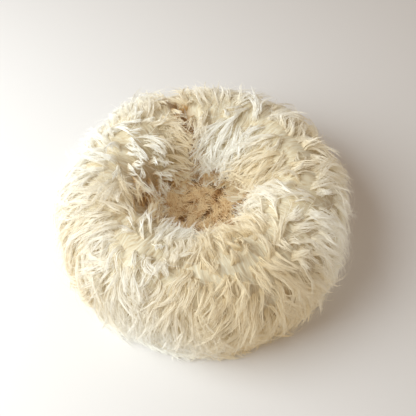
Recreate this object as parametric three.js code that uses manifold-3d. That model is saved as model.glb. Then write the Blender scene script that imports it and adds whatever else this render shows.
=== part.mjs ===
// Round nest bed for a small pet: a stuffed ring wall and a soft floor inside a long-wool fleece cover.
// The cover is three outer and three inner fleeces, a round floor fleece and a canvas base that unzips,
// so that the stuffed bolster and the floor pad come out for washing.
// Millimetres, +Z up, origin on the ground under the middle of the nest, front towards -Y.
import * as THREE from "three";
import { mergeVertices } from "three/addons/utils/BufferGeometryUtils.js";
import Module from "manifold-3d";

// Overall sizes.
const BED_DIAMETER = 470; // across the combed wool at its widest
const BED_HEIGHT = 160; // from the ground to the crest of the wool
const WIDEST_HEIGHT = 62; // where the outer wool stands out furthest
const NEST_DIAMETER = 138; // hollow at its narrowest
const NARROWEST_HEIGHT = 78; // where the inner wool stands furthest into the hollow
const NEST_FLOOR_HEIGHT = 54; // from the ground to the wool that the pet lies on

// Fleeces: hide and combed wool together.
const WALL_WOOL = 42; // depth on the outer side of the bolster
const NEST_WOOL = 38; // depth on its inner side
const CREST_WOOL = 34; // depth over the bolster's top
const HEM_WOOL = 20; // depth where the outer fleece meets the ground
const HIDE = 1.5; // leather side of the floor fleece
const SEAM_ANGLES = [102, 222, 342]; // degrees from +X, where the lengths of fleece are sewn end to end
const PANEL_NAMES = ["left", "front", "right"]; // in the order of the seams

// Inserts.
const LINER = 1.2; // calico of both liners
const BOLSTER_FOOT = 46; // width of the flat that the bolster rests on
const BOLSTER_WAIST = 0.46; // share of its height at which the bolster is widest
const FILLING_SLIT = { width: 3, length: 150 }; // opening that the stuffing goes in through
const PAD_HEIGHT = 17.6; // floor pad in its liner
const PAD_EDGE = 5; // radius of the pad's rounded rim
const CLEARANCE = 0.4; // between pieces that touch
const PULL_CLEARANCE = 0.9; // from the pull's tip to the end of the recess, whichever way it lies

// Base.
const UNDERCUT = 35; // from the widest wool in to the base seam
const CANVAS = 1.5;
const BINDING = { width: 3.5, height: 6 }; // tape round the base seam
const TAPE_OVERLAP = 4; // tape sewn down past each end of the recess
const WADDING_EDGE = 4; // canvas seam allowance that the wadding stops short of
const HEM_CLEARANCE = 1; // outer wool above the ground
const POCKET_WIDTH = 18; // recess in the base that the zip lies in
const POCKET_DEPTH = 5.7; // from the ground to the zip tape

// Zip.
const ZIP_LENGTH = 264;
const TAPE = { thickness: 0.8, outer: 15 }; // outer edge, from the zip's centre line
const TOOTH = { pitch: 5.5, share: 0.55, thickness: 2.4, tip: 1.1, spine: 3.3 };
const SLIDER = { length: 13, width: 10.4, plate: 1, neck: 1.3, neckLength: 3.6 };
const LUG = { length: 4, width: 2.6, drop: 2.8, bore: 0.6 }; // loop under the slider that carries the pull
const PULL = { length: 25, width: 7.4, thickness: 1.5, pin: 0.55, forkDepth: 3.3, forkWidth: 3.6, hole: 1.6 };
const STOP_LENGTH = 3;

// Facets.
const RING_SEGMENTS = 40;
const CURVE_STEPS = 4; // per quarter turn of a section
const ROUND_SEGMENTS = 24; // pins, bores and rounded ends

// Derived places. The section of the ring is drawn in the (radius, height) plane.
const outerRadius = BED_DIAMETER / 2;
const nestRadius = NEST_DIAMETER / 2;
const crestRadius = (outerRadius - WALL_WOOL + nestRadius + NEST_WOOL) / 2;
const baseRadius = outerRadius - UNDERCUT;
const tapeBottom = POCKET_DEPTH + CLEARANCE;
const tapeTop = tapeBottom + TAPE.thickness;
const tapeMiddle = (tapeBottom + tapeTop) / 2;
const toothTop = tapeMiddle + TOOTH.thickness / 2;
const toothBottom = tapeMiddle - TOOTH.thickness / 2;
const sliderTop = toothTop + CLEARANCE + SLIDER.plate;
const sliderBottom = toothBottom - CLEARANCE - SLIDER.plate;
const insertBottom = sliderTop + CLEARANCE;
const bolsterTop = BED_HEIGHT - CREST_WOOL;
const bolsterHalfWidth = crestRadius - NEST_WOOL - nestRadius;
const bolsterWaist = insertBottom + BOLSTER_WAIST * (bolsterTop - insertBottom);
const padTop = insertBottom + PAD_HEIGHT;
const padRadius = crestRadius - bolsterHalfWidth - 3 * CLEARANCE;
const hideTop = padTop + CLEARANCE + HIDE;
const hemRadius = baseRadius + BINDING.width + CLEARANCE;
const pinHeight = sliderBottom - LUG.drop / 2;
const sliderRest = ZIP_LENGTH / 2 - STOP_LENGTH - CLEARANCE - SLIDER.length / 2; // x of its middle, closed
const recessEnd = sliderRest + PULL.length + PULL_CLEARANCE; // the pull can lie either way
const tapeEnd = recessEnd + TAPE_OVERLAP;
const palette = {
  wool: new THREE.MeshStandardMaterial({ color: 0xe9ddc2, roughness: 0.95, metalness: 0 }),
  floorWool: new THREE.MeshStandardMaterial({ color: 0xd9c6a0, roughness: 0.95, metalness: 0 }),
  calico: new THREE.MeshStandardMaterial({ color: 0xe4dcc8, roughness: 0.9, metalness: 0 }),
  stuffing: new THREE.MeshStandardMaterial({ color: 0xf4f2ea, roughness: 1, metalness: 0 }),
  canvas: new THREE.MeshStandardMaterial({ color: 0xb9a684, roughness: 0.9, metalness: 0 }),
  binding: new THREE.MeshStandardMaterial({ color: 0x9b8765, roughness: 0.85, metalness: 0 }),
  zipTape: new THREE.MeshStandardMaterial({ color: 0xcdbf9f, roughness: 0.8, metalness: 0 }),
  zipTeeth: new THREE.MeshStandardMaterial({ color: 0xd8cdb4, roughness: 0.45, metalness: 0 }),
  zipMetal: new THREE.MeshStandardMaterial({ color: 0xb08d4f, roughness: 0.35, metalness: 0.9 }),
};

const wasm = await Module();
wasm.setup();

// A closed three.js geometry as a manifold-3d solid, and back.
function toSolid(geometry) {
  const bare = geometry.index ? geometry.toNonIndexed() : geometry.clone();
  bare.deleteAttribute("normal");
  bare.deleteAttribute("uv");
  const merged = mergeVertices(bare, 1e-3);
  return new wasm.Manifold(
    new wasm.Mesh({
      numProp: 3,
      vertProperties: merged.attributes.position.array,
      triVerts: new Uint32Array(merged.index.array),
    }),
  );
}

function toGeometry(solid) {
  const mesh = solid.getMesh();
  const positions = new Float32Array(mesh.numVert * 3);
  for (let i = 0; i < mesh.numVert; i++) {
    positions.set(mesh.vertProperties.subarray(i * mesh.numProp, i * mesh.numProp + 3), i * 3);
  }
  const geometry = new THREE.BufferGeometry();
  geometry.setAttribute("position", new THREE.BufferAttribute(positions, 3));
  geometry.setIndex(new THREE.BufferAttribute(new Uint32Array(mesh.triVerts), 1));
  geometry.computeVertexNormals();
  return geometry;
}

const minus = (geometry, ...cutters) =>
  toGeometry(cutters.reduce((solid, cutter) => solid.subtract(toSolid(cutter)), toSolid(geometry)));
const plus = (geometry, ...others) =>
  toGeometry(others.reduce((solid, other) => solid.add(toSolid(other)), toSolid(geometry)));
const common = (a, b) => toGeometry(toSolid(a).intersect(toSolid(b)));

// A box from its lowest and highest corners.
function box(low, high) {
  const size = high.map((value, i) => value - low[i]);
  const middle = high.map((value, i) => (value + low[i]) / 2);
  return new THREE.BoxGeometry(...size).translate(...middle);
}

// The same from pairs of x, y and z, each pair in either order.
function slab(x0, x1, y0, y1, z0, z1) {
  return box([Math.min(x0, x1), Math.min(y0, y1), z0], [Math.max(x0, x1), Math.max(y0, y1), z1]);
}

// A closed (radius, height) path, drawn with the solid on its left, turned about the vertical axis.
function turned(path) {
  const points = path.getPoints(CURVE_STEPS);
  if (points[0].x > 0) points.push(points[0].clone());
  return new THREE.LatheGeometry(points, RING_SEGMENTS).rotateX(Math.PI / 2);
}

// A quarter of an ellipse from the path's end to (x, y), which it leaves upright or level.
function quarterTo(path, x, y, upright) {
  const from = path.currentPoint.clone();
  const kappa = 0.5523; // Bezier handle of a quarter ellipse
  const dx = (x - from.x) * kappa;
  const dy = (y - from.y) * kappa;
  if (upright) path.bezierCurveTo(from.x, from.y + dy, x - dx, y, x, y);
  else path.bezierCurveTo(from.x + dx, from.y, x, y - dy, x, y);
}

// The bolster's section, shrunk by inset all round.
function bolsterSection(inset) {
  const foot = BOLSTER_FOOT / 2;
  const side = bolsterHalfWidth - inset;
  const path = new THREE.Path();
  path.moveTo(crestRadius - foot, insertBottom + inset);
  path.lineTo(crestRadius + foot, insertBottom + inset);
  quarterTo(path, crestRadius + side, bolsterWaist, false);
  quarterTo(path, crestRadius, bolsterTop - inset, true);
  quarterTo(path, crestRadius - side, bolsterWaist, false);
  quarterTo(path, crestRadius - foot, insertBottom + inset, true);
  return path;
}

function bolsterLiner() {
  const half = FILLING_SLIT.length / 2;
  const front = -crestRadius - FILLING_SLIT.width / 2;
  const back = front + FILLING_SLIT.width;
  const slit = slab(-half, half, front, back, insertBottom - LINER, insertBottom + 2 * LINER);
  return minus(turned(bolsterSection(0)), turned(bolsterSection(LINER)), slit);
}

// The floor pad's section, shrunk by inset all round.
function padSection(inset) {
  const side = padRadius - inset;
  const low = insertBottom + inset;
  const high = padTop - inset;
  const path = new THREE.Path();
  path.moveTo(0, low);
  path.lineTo(side - PAD_EDGE, low);
  quarterTo(path, side, low + PAD_EDGE, false);
  path.lineTo(side, high - PAD_EDGE);
  quarterTo(path, side - PAD_EDGE, high, true);
  path.lineTo(0, high);
  return path;
}

function padLiner() {
  const half = FILLING_SLIT.length / 2;
  const low = (insertBottom + padTop - FILLING_SLIT.width) / 2;
  const slit = slab(-half, half, -padRadius - LINER, -padRadius / 2, low, low + FILLING_SLIT.width);
  return minus(turned(padSection(0)), turned(padSection(LINER)), slit);
}

// Outer fleeces: from the crest seam over the outside of the bolster to the base seam.
function outerFleeceSection() {
  const seam = crestRadius + CLEARANCE / 2;
  const path = new THREE.Path();
  path.moveTo(hemRadius, HEM_CLEARANCE);
  path.lineTo(hemRadius + HEM_WOOL, HEM_CLEARANCE);
  quarterTo(path, outerRadius, WIDEST_HEIGHT, false);
  quarterTo(path, seam, BED_HEIGHT, true);
  path.lineTo(seam, bolsterTop + CLEARANCE);
  quarterTo(path, crestRadius + bolsterHalfWidth + CLEARANCE, bolsterWaist, false);
  path.lineTo(hemRadius, BINDING.height + CLEARANCE);
  path.lineTo(hemRadius, HEM_CLEARANCE);
  return path;
}

// Inner fleeces: from the crest seam down into the nest, to the floor fleece.
function innerFleeceSection() {
  const seam = crestRadius - CLEARANCE / 2;
  const wall = nestRadius + CLEARANCE / 2;
  const back = crestRadius - bolsterHalfWidth - CLEARANCE;
  const path = new THREE.Path();
  path.moveTo(wall, hideTop + CLEARANCE);
  path.lineTo(back, hideTop + CLEARANCE);
  path.lineTo(back, bolsterWaist);
  quarterTo(path, seam, bolsterTop + CLEARANCE, true);
  path.lineTo(seam, BED_HEIGHT);
  quarterTo(path, wall, NARROWEST_HEIGHT, false);
  path.lineTo(wall, hideTop + CLEARANCE);
  return path;
}

// One length of a ring of fleece, between two neighbouring end seams.
function fleecePanel(section, index) {
  const halfGap = CLEARANCE / 2 / nestRadius;
  const from = THREE.MathUtils.degToRad(SEAM_ANGLES[index]) + halfGap;
  const next = SEAM_ANGLES[(index + 1) % SEAM_ANGLES.length];
  const turn = THREE.MathUtils.euclideanModulo(next - SEAM_ANGLES[index], 360);
  const to = from + THREE.MathUtils.degToRad(turn) - 2 * halfGap;
  const wedge = new THREE.Shape();
  wedge.moveTo(0, 0);
  wedge.absarc(0, 0, BED_DIAMETER, from, to);
  wedge.lineTo(0, 0);
  const sector = new THREE.ExtrudeGeometry(wedge, {
    depth: BED_HEIGHT + 1,
    bevelEnabled: false,
    curveSegments: 8,
  });
  return common(turned(section), sector);
}

function floorFleece() {
  const hideRadius = crestRadius - bolsterHalfWidth - CLEARANCE;
  const side = nestRadius - CLEARANCE / 2;
  const round = (NEST_FLOOR_HEIGHT - hideTop) / 2;
  const path = new THREE.Path();
  path.moveTo(0, padTop + CLEARANCE);
  path.lineTo(hideRadius, padTop + CLEARANCE);
  path.lineTo(hideRadius, hideTop);
  path.lineTo(side, hideTop);
  path.lineTo(side, NEST_FLOOR_HEIGHT - round);
  quarterTo(path, side - round, NEST_FLOOR_HEIGHT, true);
  path.lineTo(0, NEST_FLOOR_HEIGHT);
  return turned(path);
}

// Half of a round base layer, in front of the zip (side -1) or behind it (side 1), cut back round the zip.
function halfDisc(radius, low, high, cutBack, side) {
  const disc = new THREE.CylinderGeometry(radius, radius, high - low, RING_SEGMENTS)
    .rotateX(Math.PI / 2)
    .translate(0, 0, (low + high) / 2);
  const far = radius + 1;
  const other = slab(-far, far, -side * far, (side * CLEARANCE) / 2, low - 1, high + 1);
  return minus(disc, other, slab(-cutBack.x, cutBack.x, 0, side * cutBack.y, low - 1, high + 1));
}

// Canvas with its cut edge turned up round the zip, where the zip tape is sewn to it.
function baseCanvas(side) {
  const recess = { x: recessEnd, y: POCKET_WIDTH / 2 };
  const middle = (side * CLEARANCE) / 2;
  const lipEnd = recess.x + CANVAS;
  const lip = slab(-lipEnd, lipEnd, middle, side * (recess.y + CANVAS), 0, POCKET_DEPTH);
  const gap = slab(-recess.x, recess.x, middle - side, side * recess.y, -1, POCKET_DEPTH + 1);
  return plus(halfDisc(baseRadius, 0, CANVAS, recess, side), minus(lip, gap));
}

function baseWadding(side) {
  const cutBack = { x: tapeEnd + CLEARANCE, y: TAPE.outer + CLEARANCE };
  const radius = baseRadius - WADDING_EDGE;
  return halfDisc(radius, CANVAS + CLEARANCE, insertBottom - CLEARANCE, cutBack, side);
}

function baseBinding() {
  const inner = baseRadius + CLEARANCE;
  const outer = baseRadius + BINDING.width;
  const bevel = BINDING.width / 3;
  const path = new THREE.Path();
  path.moveTo(inner, CLEARANCE);
  path.lineTo(outer - bevel, CLEARANCE);
  path.lineTo(outer, CLEARANCE + bevel);
  path.lineTo(outer, BINDING.height - bevel);
  path.lineTo(outer - bevel, BINDING.height);
  path.lineTo(inner, BINDING.height);
  path.lineTo(inner, CLEARANCE);
  return turned(path);
}

function zipTape(side) {
  const rowEnd = ZIP_LENGTH / 2 + CLEARANCE;
  const row = slab(-rowEnd, rowEnd, 0, side * (TOOTH.spine + CLEARANCE), 0, tapeTop + 1);
  const strip = slab(-tapeEnd, tapeEnd, (side * CLEARANCE) / 2, side * TAPE.outer, tapeBottom, tapeTop);
  return minus(strip, row);
}

// A row of teeth on its spine: a comb outline with the solid on one side of the zip's centre line.
function zipTeeth(side) {
  const half = ZIP_LENGTH / 2 - STOP_LENGTH - CLEARANCE;
  const count = Math.floor((2 * half) / TOOTH.pitch);
  const start = (-count * TOOTH.pitch) / 2;
  const root = (TOOTH.tip + TOOTH.spine) / 2;
  const comb = new THREE.Shape();
  comb.moveTo(-half, TOOTH.spine);
  comb.lineTo(-half, root);
  for (let i = 0; i < count; i++) {
    const x = start + i * TOOTH.pitch;
    const end = x + TOOTH.share * TOOTH.pitch;
    comb.lineTo(x, root);
    comb.lineTo(x, TOOTH.tip);
    comb.lineTo(end, TOOTH.tip);
    comb.lineTo(end, root);
  }
  comb.lineTo(half, root);
  comb.lineTo(half, TOOTH.spine);
  const row = new THREE.ExtrudeGeometry(comb, { depth: TOOTH.thickness, bevelEnabled: false });
  if (side < 0) row.rotateZ(Math.PI);
  return row.translate(0, 0, toothBottom);
}

// Stops are crimped on the ends of the rows: one on each row at the closed end, one across both at the other.
function zipStop(x, y0, y1) {
  return slab(x - STOP_LENGTH / 2, x + STOP_LENGTH / 2, y0, y1, toothBottom, toothTop);
}

function zipSlider() {
  const half = SLIDER.length / 2;
  const side = SLIDER.width / 2;
  const channel = TOOTH.spine + CLEARANCE;
  const low = sliderBottom + SLIDER.plate;
  const high = sliderTop - SLIDER.plate;
  const body = slab(-half, half, -side, side, sliderBottom, sliderTop);
  const rows = slab(-half - 1, half + 1, -channel, channel, low, high);
  const slits = slab(-half - 1, half + 1, -side - 1, side + 1, tapeBottom - CLEARANCE, tapeTop + CLEARANCE);
  const inPlate = SLIDER.plate / 2;
  const neckSide = SLIDER.neck / 2;
  const neck = slab(half - SLIDER.neckLength, half, -neckSide, neckSide, low - inPlate, high + inPlate);
  const lugEnd = LUG.length / 2;
  const lugSide = LUG.width / 2;
  const lug = slab(-lugEnd, lugEnd, -lugSide, lugSide, sliderBottom - LUG.drop, low - inPlate);
  const bore = new THREE.CylinderGeometry(LUG.bore, LUG.bore, 2 * LUG.width, ROUND_SEGMENTS)
    .rotateY(Math.PI / ROUND_SEGMENTS)
    .translate(0, 0, pinHeight);
  return minus(plus(minus(body, rows, slits), neck, lug), bore).translate(sliderRest, 0, 0);
}

// The pull: a flat tongue that lies back along the zip. Its fork straddles the lug, and a pin joins the
// fork's ends through the lug's bore.
function zipPull() {
  const side = PULL.width / 2;
  const slot = PULL.forkWidth / 2;
  const end = PULL.thickness / 2;
  const tongue = new THREE.Shape();
  tongue.moveTo(end, slot);
  tongue.lineTo(end, side);
  tongue.lineTo(-PULL.length + side, side);
  tongue.absarc(-PULL.length + side, 0, side, Math.PI / 2, (3 * Math.PI) / 2);
  tongue.lineTo(end, -side);
  tongue.lineTo(end, -slot);
  tongue.lineTo(-PULL.forkDepth, -slot);
  tongue.lineTo(-PULL.forkDepth, slot);
  tongue.lineTo(end, slot);
  tongue.holes.push(new THREE.Path().absarc(-PULL.length + side, 0, PULL.hole, 0, 2 * Math.PI));
  const plate = new THREE.ExtrudeGeometry(tongue, {
    depth: PULL.thickness,
    bevelEnabled: false,
    curveSegments: ROUND_SEGMENTS / 2,
  }).translate(0, 0, -PULL.thickness / 2);
  const pin = new THREE.CylinderGeometry(PULL.pin, PULL.pin, slot + side, ROUND_SEGMENTS);
  return plus(plate, pin).translate(sliderRest, 0, pinHeight);
}

const bed = new THREE.Group();
function add(name, geometry, material) {
  const mesh = new THREE.Mesh(geometry, material);
  mesh.name = name;
  bed.add(mesh);
}

PANEL_NAMES.forEach((name, index) => {
  add(`outer_fleece_${name}`, fleecePanel(outerFleeceSection(), index), palette.wool);
  add(`inner_fleece_${name}`, fleecePanel(innerFleeceSection(), index), palette.wool);
});
add("floor_fleece", floorFleece(), palette.floorWool);
add("bolster_liner", bolsterLiner(), palette.calico);
add("bolster_stuffing", turned(bolsterSection(LINER + CLEARANCE)), palette.stuffing);
add("floor_pad_liner", padLiner(), palette.calico);
add("floor_pad_stuffing", turned(padSection(LINER + CLEARANCE)), palette.stuffing);
for (const [name, side] of [["front", -1], ["back", 1]]) {
  add(`base_canvas_${name}`, baseCanvas(side), palette.canvas);
  add(`base_wadding_${name}`, baseWadding(side), palette.stuffing);
  add(`zip_tape_${name}`, zipTape(side), palette.zipTape);
  add(`zip_teeth_${name}`, zipTeeth(side), palette.zipTeeth);
  const stop = zipStop((ZIP_LENGTH - STOP_LENGTH) / 2, side * TOOTH.tip, side * TOOTH.spine);
  add(`zip_top_stop_${name}`, stop, palette.zipMetal);
}
add("base_binding", baseBinding(), palette.binding);
add("zip_bottom_stop", zipStop((STOP_LENGTH - ZIP_LENGTH) / 2, -TOOTH.spine, TOOTH.spine), palette.zipMetal);
add("zip_slider", zipSlider(), palette.zipMetal);
add("zip_pull", zipPull(), palette.zipMetal);

export default bed;
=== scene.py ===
"""Builds the finished nest bed round its engineering model: the fleeces with their wool, the two stuffed
inserts, the canvas base with its binding and stitching, and the zip."""
import math

import bmesh
import bpy
import numpy as np
from bpy.props import FloatProperty, FloatVectorProperty, IntProperty, PointerProperty
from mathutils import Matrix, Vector


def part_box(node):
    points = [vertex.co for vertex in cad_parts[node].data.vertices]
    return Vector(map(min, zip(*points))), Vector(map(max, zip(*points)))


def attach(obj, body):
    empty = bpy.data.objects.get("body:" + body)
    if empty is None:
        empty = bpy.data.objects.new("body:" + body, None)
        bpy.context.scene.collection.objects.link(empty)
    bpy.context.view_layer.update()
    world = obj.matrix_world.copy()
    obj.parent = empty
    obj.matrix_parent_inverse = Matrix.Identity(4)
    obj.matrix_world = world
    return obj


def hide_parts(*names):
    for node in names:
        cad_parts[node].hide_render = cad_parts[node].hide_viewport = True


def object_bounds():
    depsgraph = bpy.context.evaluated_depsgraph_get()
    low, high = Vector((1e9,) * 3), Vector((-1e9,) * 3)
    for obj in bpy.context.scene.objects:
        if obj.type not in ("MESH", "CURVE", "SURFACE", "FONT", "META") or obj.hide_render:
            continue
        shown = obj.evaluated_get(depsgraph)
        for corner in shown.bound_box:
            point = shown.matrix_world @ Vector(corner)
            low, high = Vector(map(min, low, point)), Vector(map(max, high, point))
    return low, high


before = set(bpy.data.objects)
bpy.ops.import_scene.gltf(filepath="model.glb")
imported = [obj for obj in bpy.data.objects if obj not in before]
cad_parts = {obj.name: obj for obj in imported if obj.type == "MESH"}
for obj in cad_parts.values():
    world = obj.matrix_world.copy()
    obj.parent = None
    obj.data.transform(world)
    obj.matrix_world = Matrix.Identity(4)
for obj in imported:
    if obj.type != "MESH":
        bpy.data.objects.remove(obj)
CAD_BOX = [list(corner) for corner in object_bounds()]

bl_info = {
    "name": "Long-wool nest bed",
    "version": (1, 0, 0),
    "blender": (4, 5, 0),
    "location": "3D View > Sidebar > Nest Bed",
    "description": "Makes the fleeces, wool, inserts, canvas base and zip of a round pet nest bed",
    "category": "Object",
}

MM = 0.001
TAU = 2 * math.pi
PANELS = ("left", "front", "right")  # the lengths of fleece, in the order of the end seams
SEAM_ANGLES = tuple(math.radians(a) for a in (102, 222, 342))
TURN = math.radians(120)  # each length of fleece goes a third of the way round


# ---------------------------------------------------------------------------------------------------
# Sections of the ring. Across a section, w runs from -1 at the foot of the inner wall, through 0 at the
# crest, to 1 at the outer hem. It goes past both ends, along the nest's floor and the ground.
# h runs from 0 at the hide to 1 at the surface of the combed wool.
# ---------------------------------------------------------------------------------------------------

def node_size(node):
    """Lowest and highest corners of a frame part, as arrays."""
    low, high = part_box(node)
    return np.array(low), np.array(high)


BED_RADIUS = CAD_BOX[1][0]
BED_HEIGHT = CAD_BOX[1][2]
BOLSTER_LOW, BOLSTER_HIGH = node_size("bolster_liner")
PAD_LOW, PAD_HIGH = node_size("floor_pad_liner")
FLOOR_LOW, FLOOR_HIGH = node_size("floor_fleece")
BINDING_HIGH = node_size("base_binding")[1]
HIDE_INNER = FLOOR_HIGH[0]  # radius of the inner fleeces' hide at the bolster's waist
CREST_RADIUS = (BOLSTER_HIGH[0] + HIDE_INNER) / 2
HOLLOW_RADIUS = 0.069  # half the way across the nest, between the wool of opposite walls
NARROWEST_HEIGHT = 0.078  # where the nest is narrowest
WIDEST_HEIGHT = 0.062  # where the bed is widest
WAIST_HEIGHT = BOLSTER_LOW[2] + 0.46 * (BOLSTER_HIGH[2] - BOLSTER_LOW[2])  # where the bolster is widest
HEM = (0.226, 0.004)  # radius and height at which the outer wool ends


def quarter(start, end, upright, steps=48):
    """Quarter of an ellipse: start + (end - start) * (1 - cos u, sin u) for u in 0..pi/2, with the two
    axes changed over if it sets off upright instead of level."""
    u = np.linspace(0, math.pi / 2, steps)
    level, rise = (1 - np.cos(u), np.sin(u)) if upright else (np.sin(u), 1 - np.cos(u))
    start, end = np.array(start), np.array(end)
    return start + (end - start) * np.stack([level, rise], 1)


def distance_along(points):
    """Distance from the first point of a line to each of its points."""
    return np.concatenate([[0], np.cumsum(np.linalg.norm(np.diff(points, axis=0), axis=1))])


def stretch(points, w0, w1):
    """w at each point of a line, growing evenly with its length from w0 to w1."""
    run = distance_along(points)
    return w0 + (w1 - w0) * run / run[-1]


def section_table(stretches):
    """Joins (points, w0, w1) stretches into arrays of w, radius and height."""
    w = np.concatenate([stretch(np.array(p), a, b) for p, a, b in stretches])
    points = np.concatenate([np.array(p) for p, _, _ in stretches])
    order = np.argsort(w, kind="stable")
    return w[order], points[order, 0], points[order, 1]


CREST_HIDE = (CREST_RADIUS, BOLSTER_HIGH[2] + 0.001)
CREST_WOOL = (CREST_RADIUS, BED_HEIGHT)
W_NARROW, W_WIDE = -0.72, 0.66  # w where the wool is narrowest inside and widest outside
INNER_FOOT = PAD_HIGH[2] + 0.004
SURFACE_STRETCHES = (
    ([(0.026, FLOOR_HIGH[2] + 0.001), (HOLLOW_RADIUS - 0.002, FLOOR_HIGH[2] + 0.001)], -1.45, -1.0),
    ([(HOLLOW_RADIUS, FLOOR_HIGH[2]), (HOLLOW_RADIUS, NARROWEST_HEIGHT)], -1.0, W_NARROW),
    (quarter((HOLLOW_RADIUS, NARROWEST_HEIGHT), CREST_WOOL, True), W_NARROW, 0.0),
    (quarter(CREST_WOOL, (BED_RADIUS, WIDEST_HEIGHT), False), 0.0, W_WIDE),
    (quarter((BED_RADIUS, WIDEST_HEIGHT), HEM, True)[:-1], W_WIDE, 1.0),
    ([(0.228, 0.004), (0.242, 0.006)], 1.0, 1.2),
)
HIDE_STRETCHES = (
    ([(0.062, INNER_FOOT), (HIDE_INNER, INNER_FOOT)], -1.45, -1.0),
    ([(HIDE_INNER, INNER_FOOT), (HIDE_INNER, WAIST_HEIGHT)], -1.0, W_NARROW),
    (quarter((HIDE_INNER, WAIST_HEIGHT), CREST_HIDE, True), W_NARROW, 0.0),
    (quarter(CREST_HIDE, (BOLSTER_HIGH[0] + 0.001, WAIST_HEIGHT), False), 0.0, W_WIDE),
    ([(BOLSTER_HIGH[0] + 0.001, WAIST_HEIGHT), (BINDING_HIGH[0] + 0.001, 0.0065)], W_WIDE, 1.0),
    ([(BINDING_HIGH[0] + 0.001, 0.0055), (0.216, 0.002)], 1.0, 1.2),
)
SURFACE_TABLE = section_table(SURFACE_STRETCHES)
HIDE_TABLE = section_table(HIDE_STRETCHES)


def ring_point(w, angle, h):
    """Point of the ring: hide + (surface - hide) * h in the section at w, turned to the angle."""
    radius_in, z_in = np.interp(w, HIDE_TABLE[0], HIDE_TABLE[1]), np.interp(w, HIDE_TABLE[0], HIDE_TABLE[2])
    radius_out = np.interp(w, SURFACE_TABLE[0], SURFACE_TABLE[1])
    z_out = np.interp(w, SURFACE_TABLE[0], SURFACE_TABLE[2])
    radius = radius_in + (radius_out - radius_in) * h
    z = z_in + (z_out - z_in) * h
    return np.stack([radius * np.cos(angle), radius * np.sin(angle), z], -1)


def section_length(w):
    """Length of wool surface and depth of wool per unit of w, and the radius there."""
    step = 0.01
    a, b = ring_point(w - step, np.zeros_like(w), 1.0), ring_point(w + step, np.zeros_like(w), 1.0)
    low, high = ring_point(w, np.zeros_like(w), 0.0), ring_point(w, np.zeros_like(w), 1.0)
    return np.linalg.norm(b - a, axis=-1) / (2 * step), np.linalg.norm(high - low, axis=-1), high[..., 0]


def waves(seed, angle, w, count=9, around=9, across=3.0):
    """Smooth field over the ring: a sum of sines of (whole number * angle + number * w + phase), with a
    standard deviation near 1."""
    draw = np.random.default_rng(seed)
    turns = draw.integers(1, around + 1, count)
    rise = draw.uniform(-across, across, count)
    phase = draw.uniform(0, TAU, count)
    field = sum(np.sin(k * angle + m * w + p) for k, m, p in zip(turns, rise, phase))
    return field / math.sqrt(count / 2)


def hump(angle, middle, width):
    """exp(-(d / width)^2) with d the angle from the middle, the short way round."""
    d = (np.asarray(angle) - middle + math.pi) % TAU - math.pi
    return np.exp(-((d / width) ** 2))


CREASE_ANGLE = math.radians(106)  # the end seam that shows as a deep crease
BARE_ANGLE = math.radians(196)  # where the parting dips into the nest and bares the roots; the wall there is also browned as painted shade
LOBE_ANGLE = math.radians(146)  # where the wool hangs furthest over the nest
BACK_ANGLE = math.radians(62)  # middle of the inner wall whose wool lies smooth


def parting(angle):
    """w at which the wool parts to the two sides. It wanders along the crest and dips into the nest."""
    return 0.07 * waves(11, angle, 0 * angle, 9, 17) - 0.60 * hump(angle, BARE_ANGLE, math.radians(19))


def crease(angle, w):
    """1 in the crease at the end seam, which leans as it goes down into the nest, and 0 away from it."""
    width = np.interp(w, [-1.0, -0.4, 0.3], [math.radians(10), math.radians(7), math.radians(4)])
    across = np.interp(w, [-1.2, -0.9, -0.3, 0.25, 0.5], [0.5, 0.9, 1.0, 0.8, 0.0])
    return hump(angle, CREASE_ANGLE + 0.25 * np.minimum(w, 0), width) * across


def roots_and_painted_shade(angle, w):
    """How far the amber roots show and painted shade browns the wool, from 0 to 1: in the crease, where
    the parting dips, and low in the nest."""
    # Each term is partly painted shade: the crease, the shaded inner wall at the dip, and the wall low in the
    # nest towards its floor.
    dip = 1.3 * hump(angle, BARE_ANGLE - 0.16, math.radians(30)) * np.exp(-((w + 0.66) / 0.32) ** 2)
    low = np.clip((-w - 0.62) / 0.3, 0, 1) * 0.8
    return np.clip(0.9 * crease(angle, w) + dip + low, 0, 1)


def wool_height(angle, w):
    """Factor on the wool's depth: rises and hollows between locks, the crease, and the lobe beside it."""
    across = np.interp(w, [-0.9, -0.4, 0.0, 0.3], [0, 1, 1, 0])
    lobe = 0.16 * hump(angle, LOBE_ANGLE, math.radians(24)) * across
    return (1 + 0.06 * waves(21, angle, w, 12, 11, 7.0) + lobe) * (1 - 0.66 * crease(angle, w))


# ---------------------------------------------------------------------------------------------------
# Mesh helpers
# ---------------------------------------------------------------------------------------------------

def mesh_object(name, vertices, loops, totals, smooth=True):
    """A mesh object from flat arrays of points, face corners and face sizes."""
    vertices = np.ascontiguousarray(vertices, dtype=np.float32).reshape(-1, 3)
    starts = np.concatenate([[0], np.cumsum(totals)[:-1]])
    mesh = bpy.data.meshes.new(name)
    mesh.vertices.add(len(vertices))
    mesh.vertices.foreach_set("co", vertices.ravel())
    mesh.loops.add(len(loops))
    mesh.loops.foreach_set("vertex_index", np.ascontiguousarray(loops, dtype=np.int32))
    mesh.polygons.add(len(starts))
    mesh.polygons.foreach_set("loop_start", np.ascontiguousarray(starts, dtype=np.int32))
    mesh.polygons.foreach_set("loop_total", np.ascontiguousarray(totals, dtype=np.int32))
    mesh.polygons.foreach_set("use_smooth", np.full(len(starts), smooth))
    mesh.update(calc_edges=True)
    mesh.validate()
    thing = bpy.data.objects.new(name, mesh)
    bpy.context.scene.collection.objects.link(thing)
    return thing


def quad_object(name, vertices, quads, smooth=True):
    """A mesh object of four-cornered faces only."""
    quads = np.asarray(quads, dtype=np.int32)
    return mesh_object(name, vertices, quads.ravel(), np.full(len(quads), 4), smooth)


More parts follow.
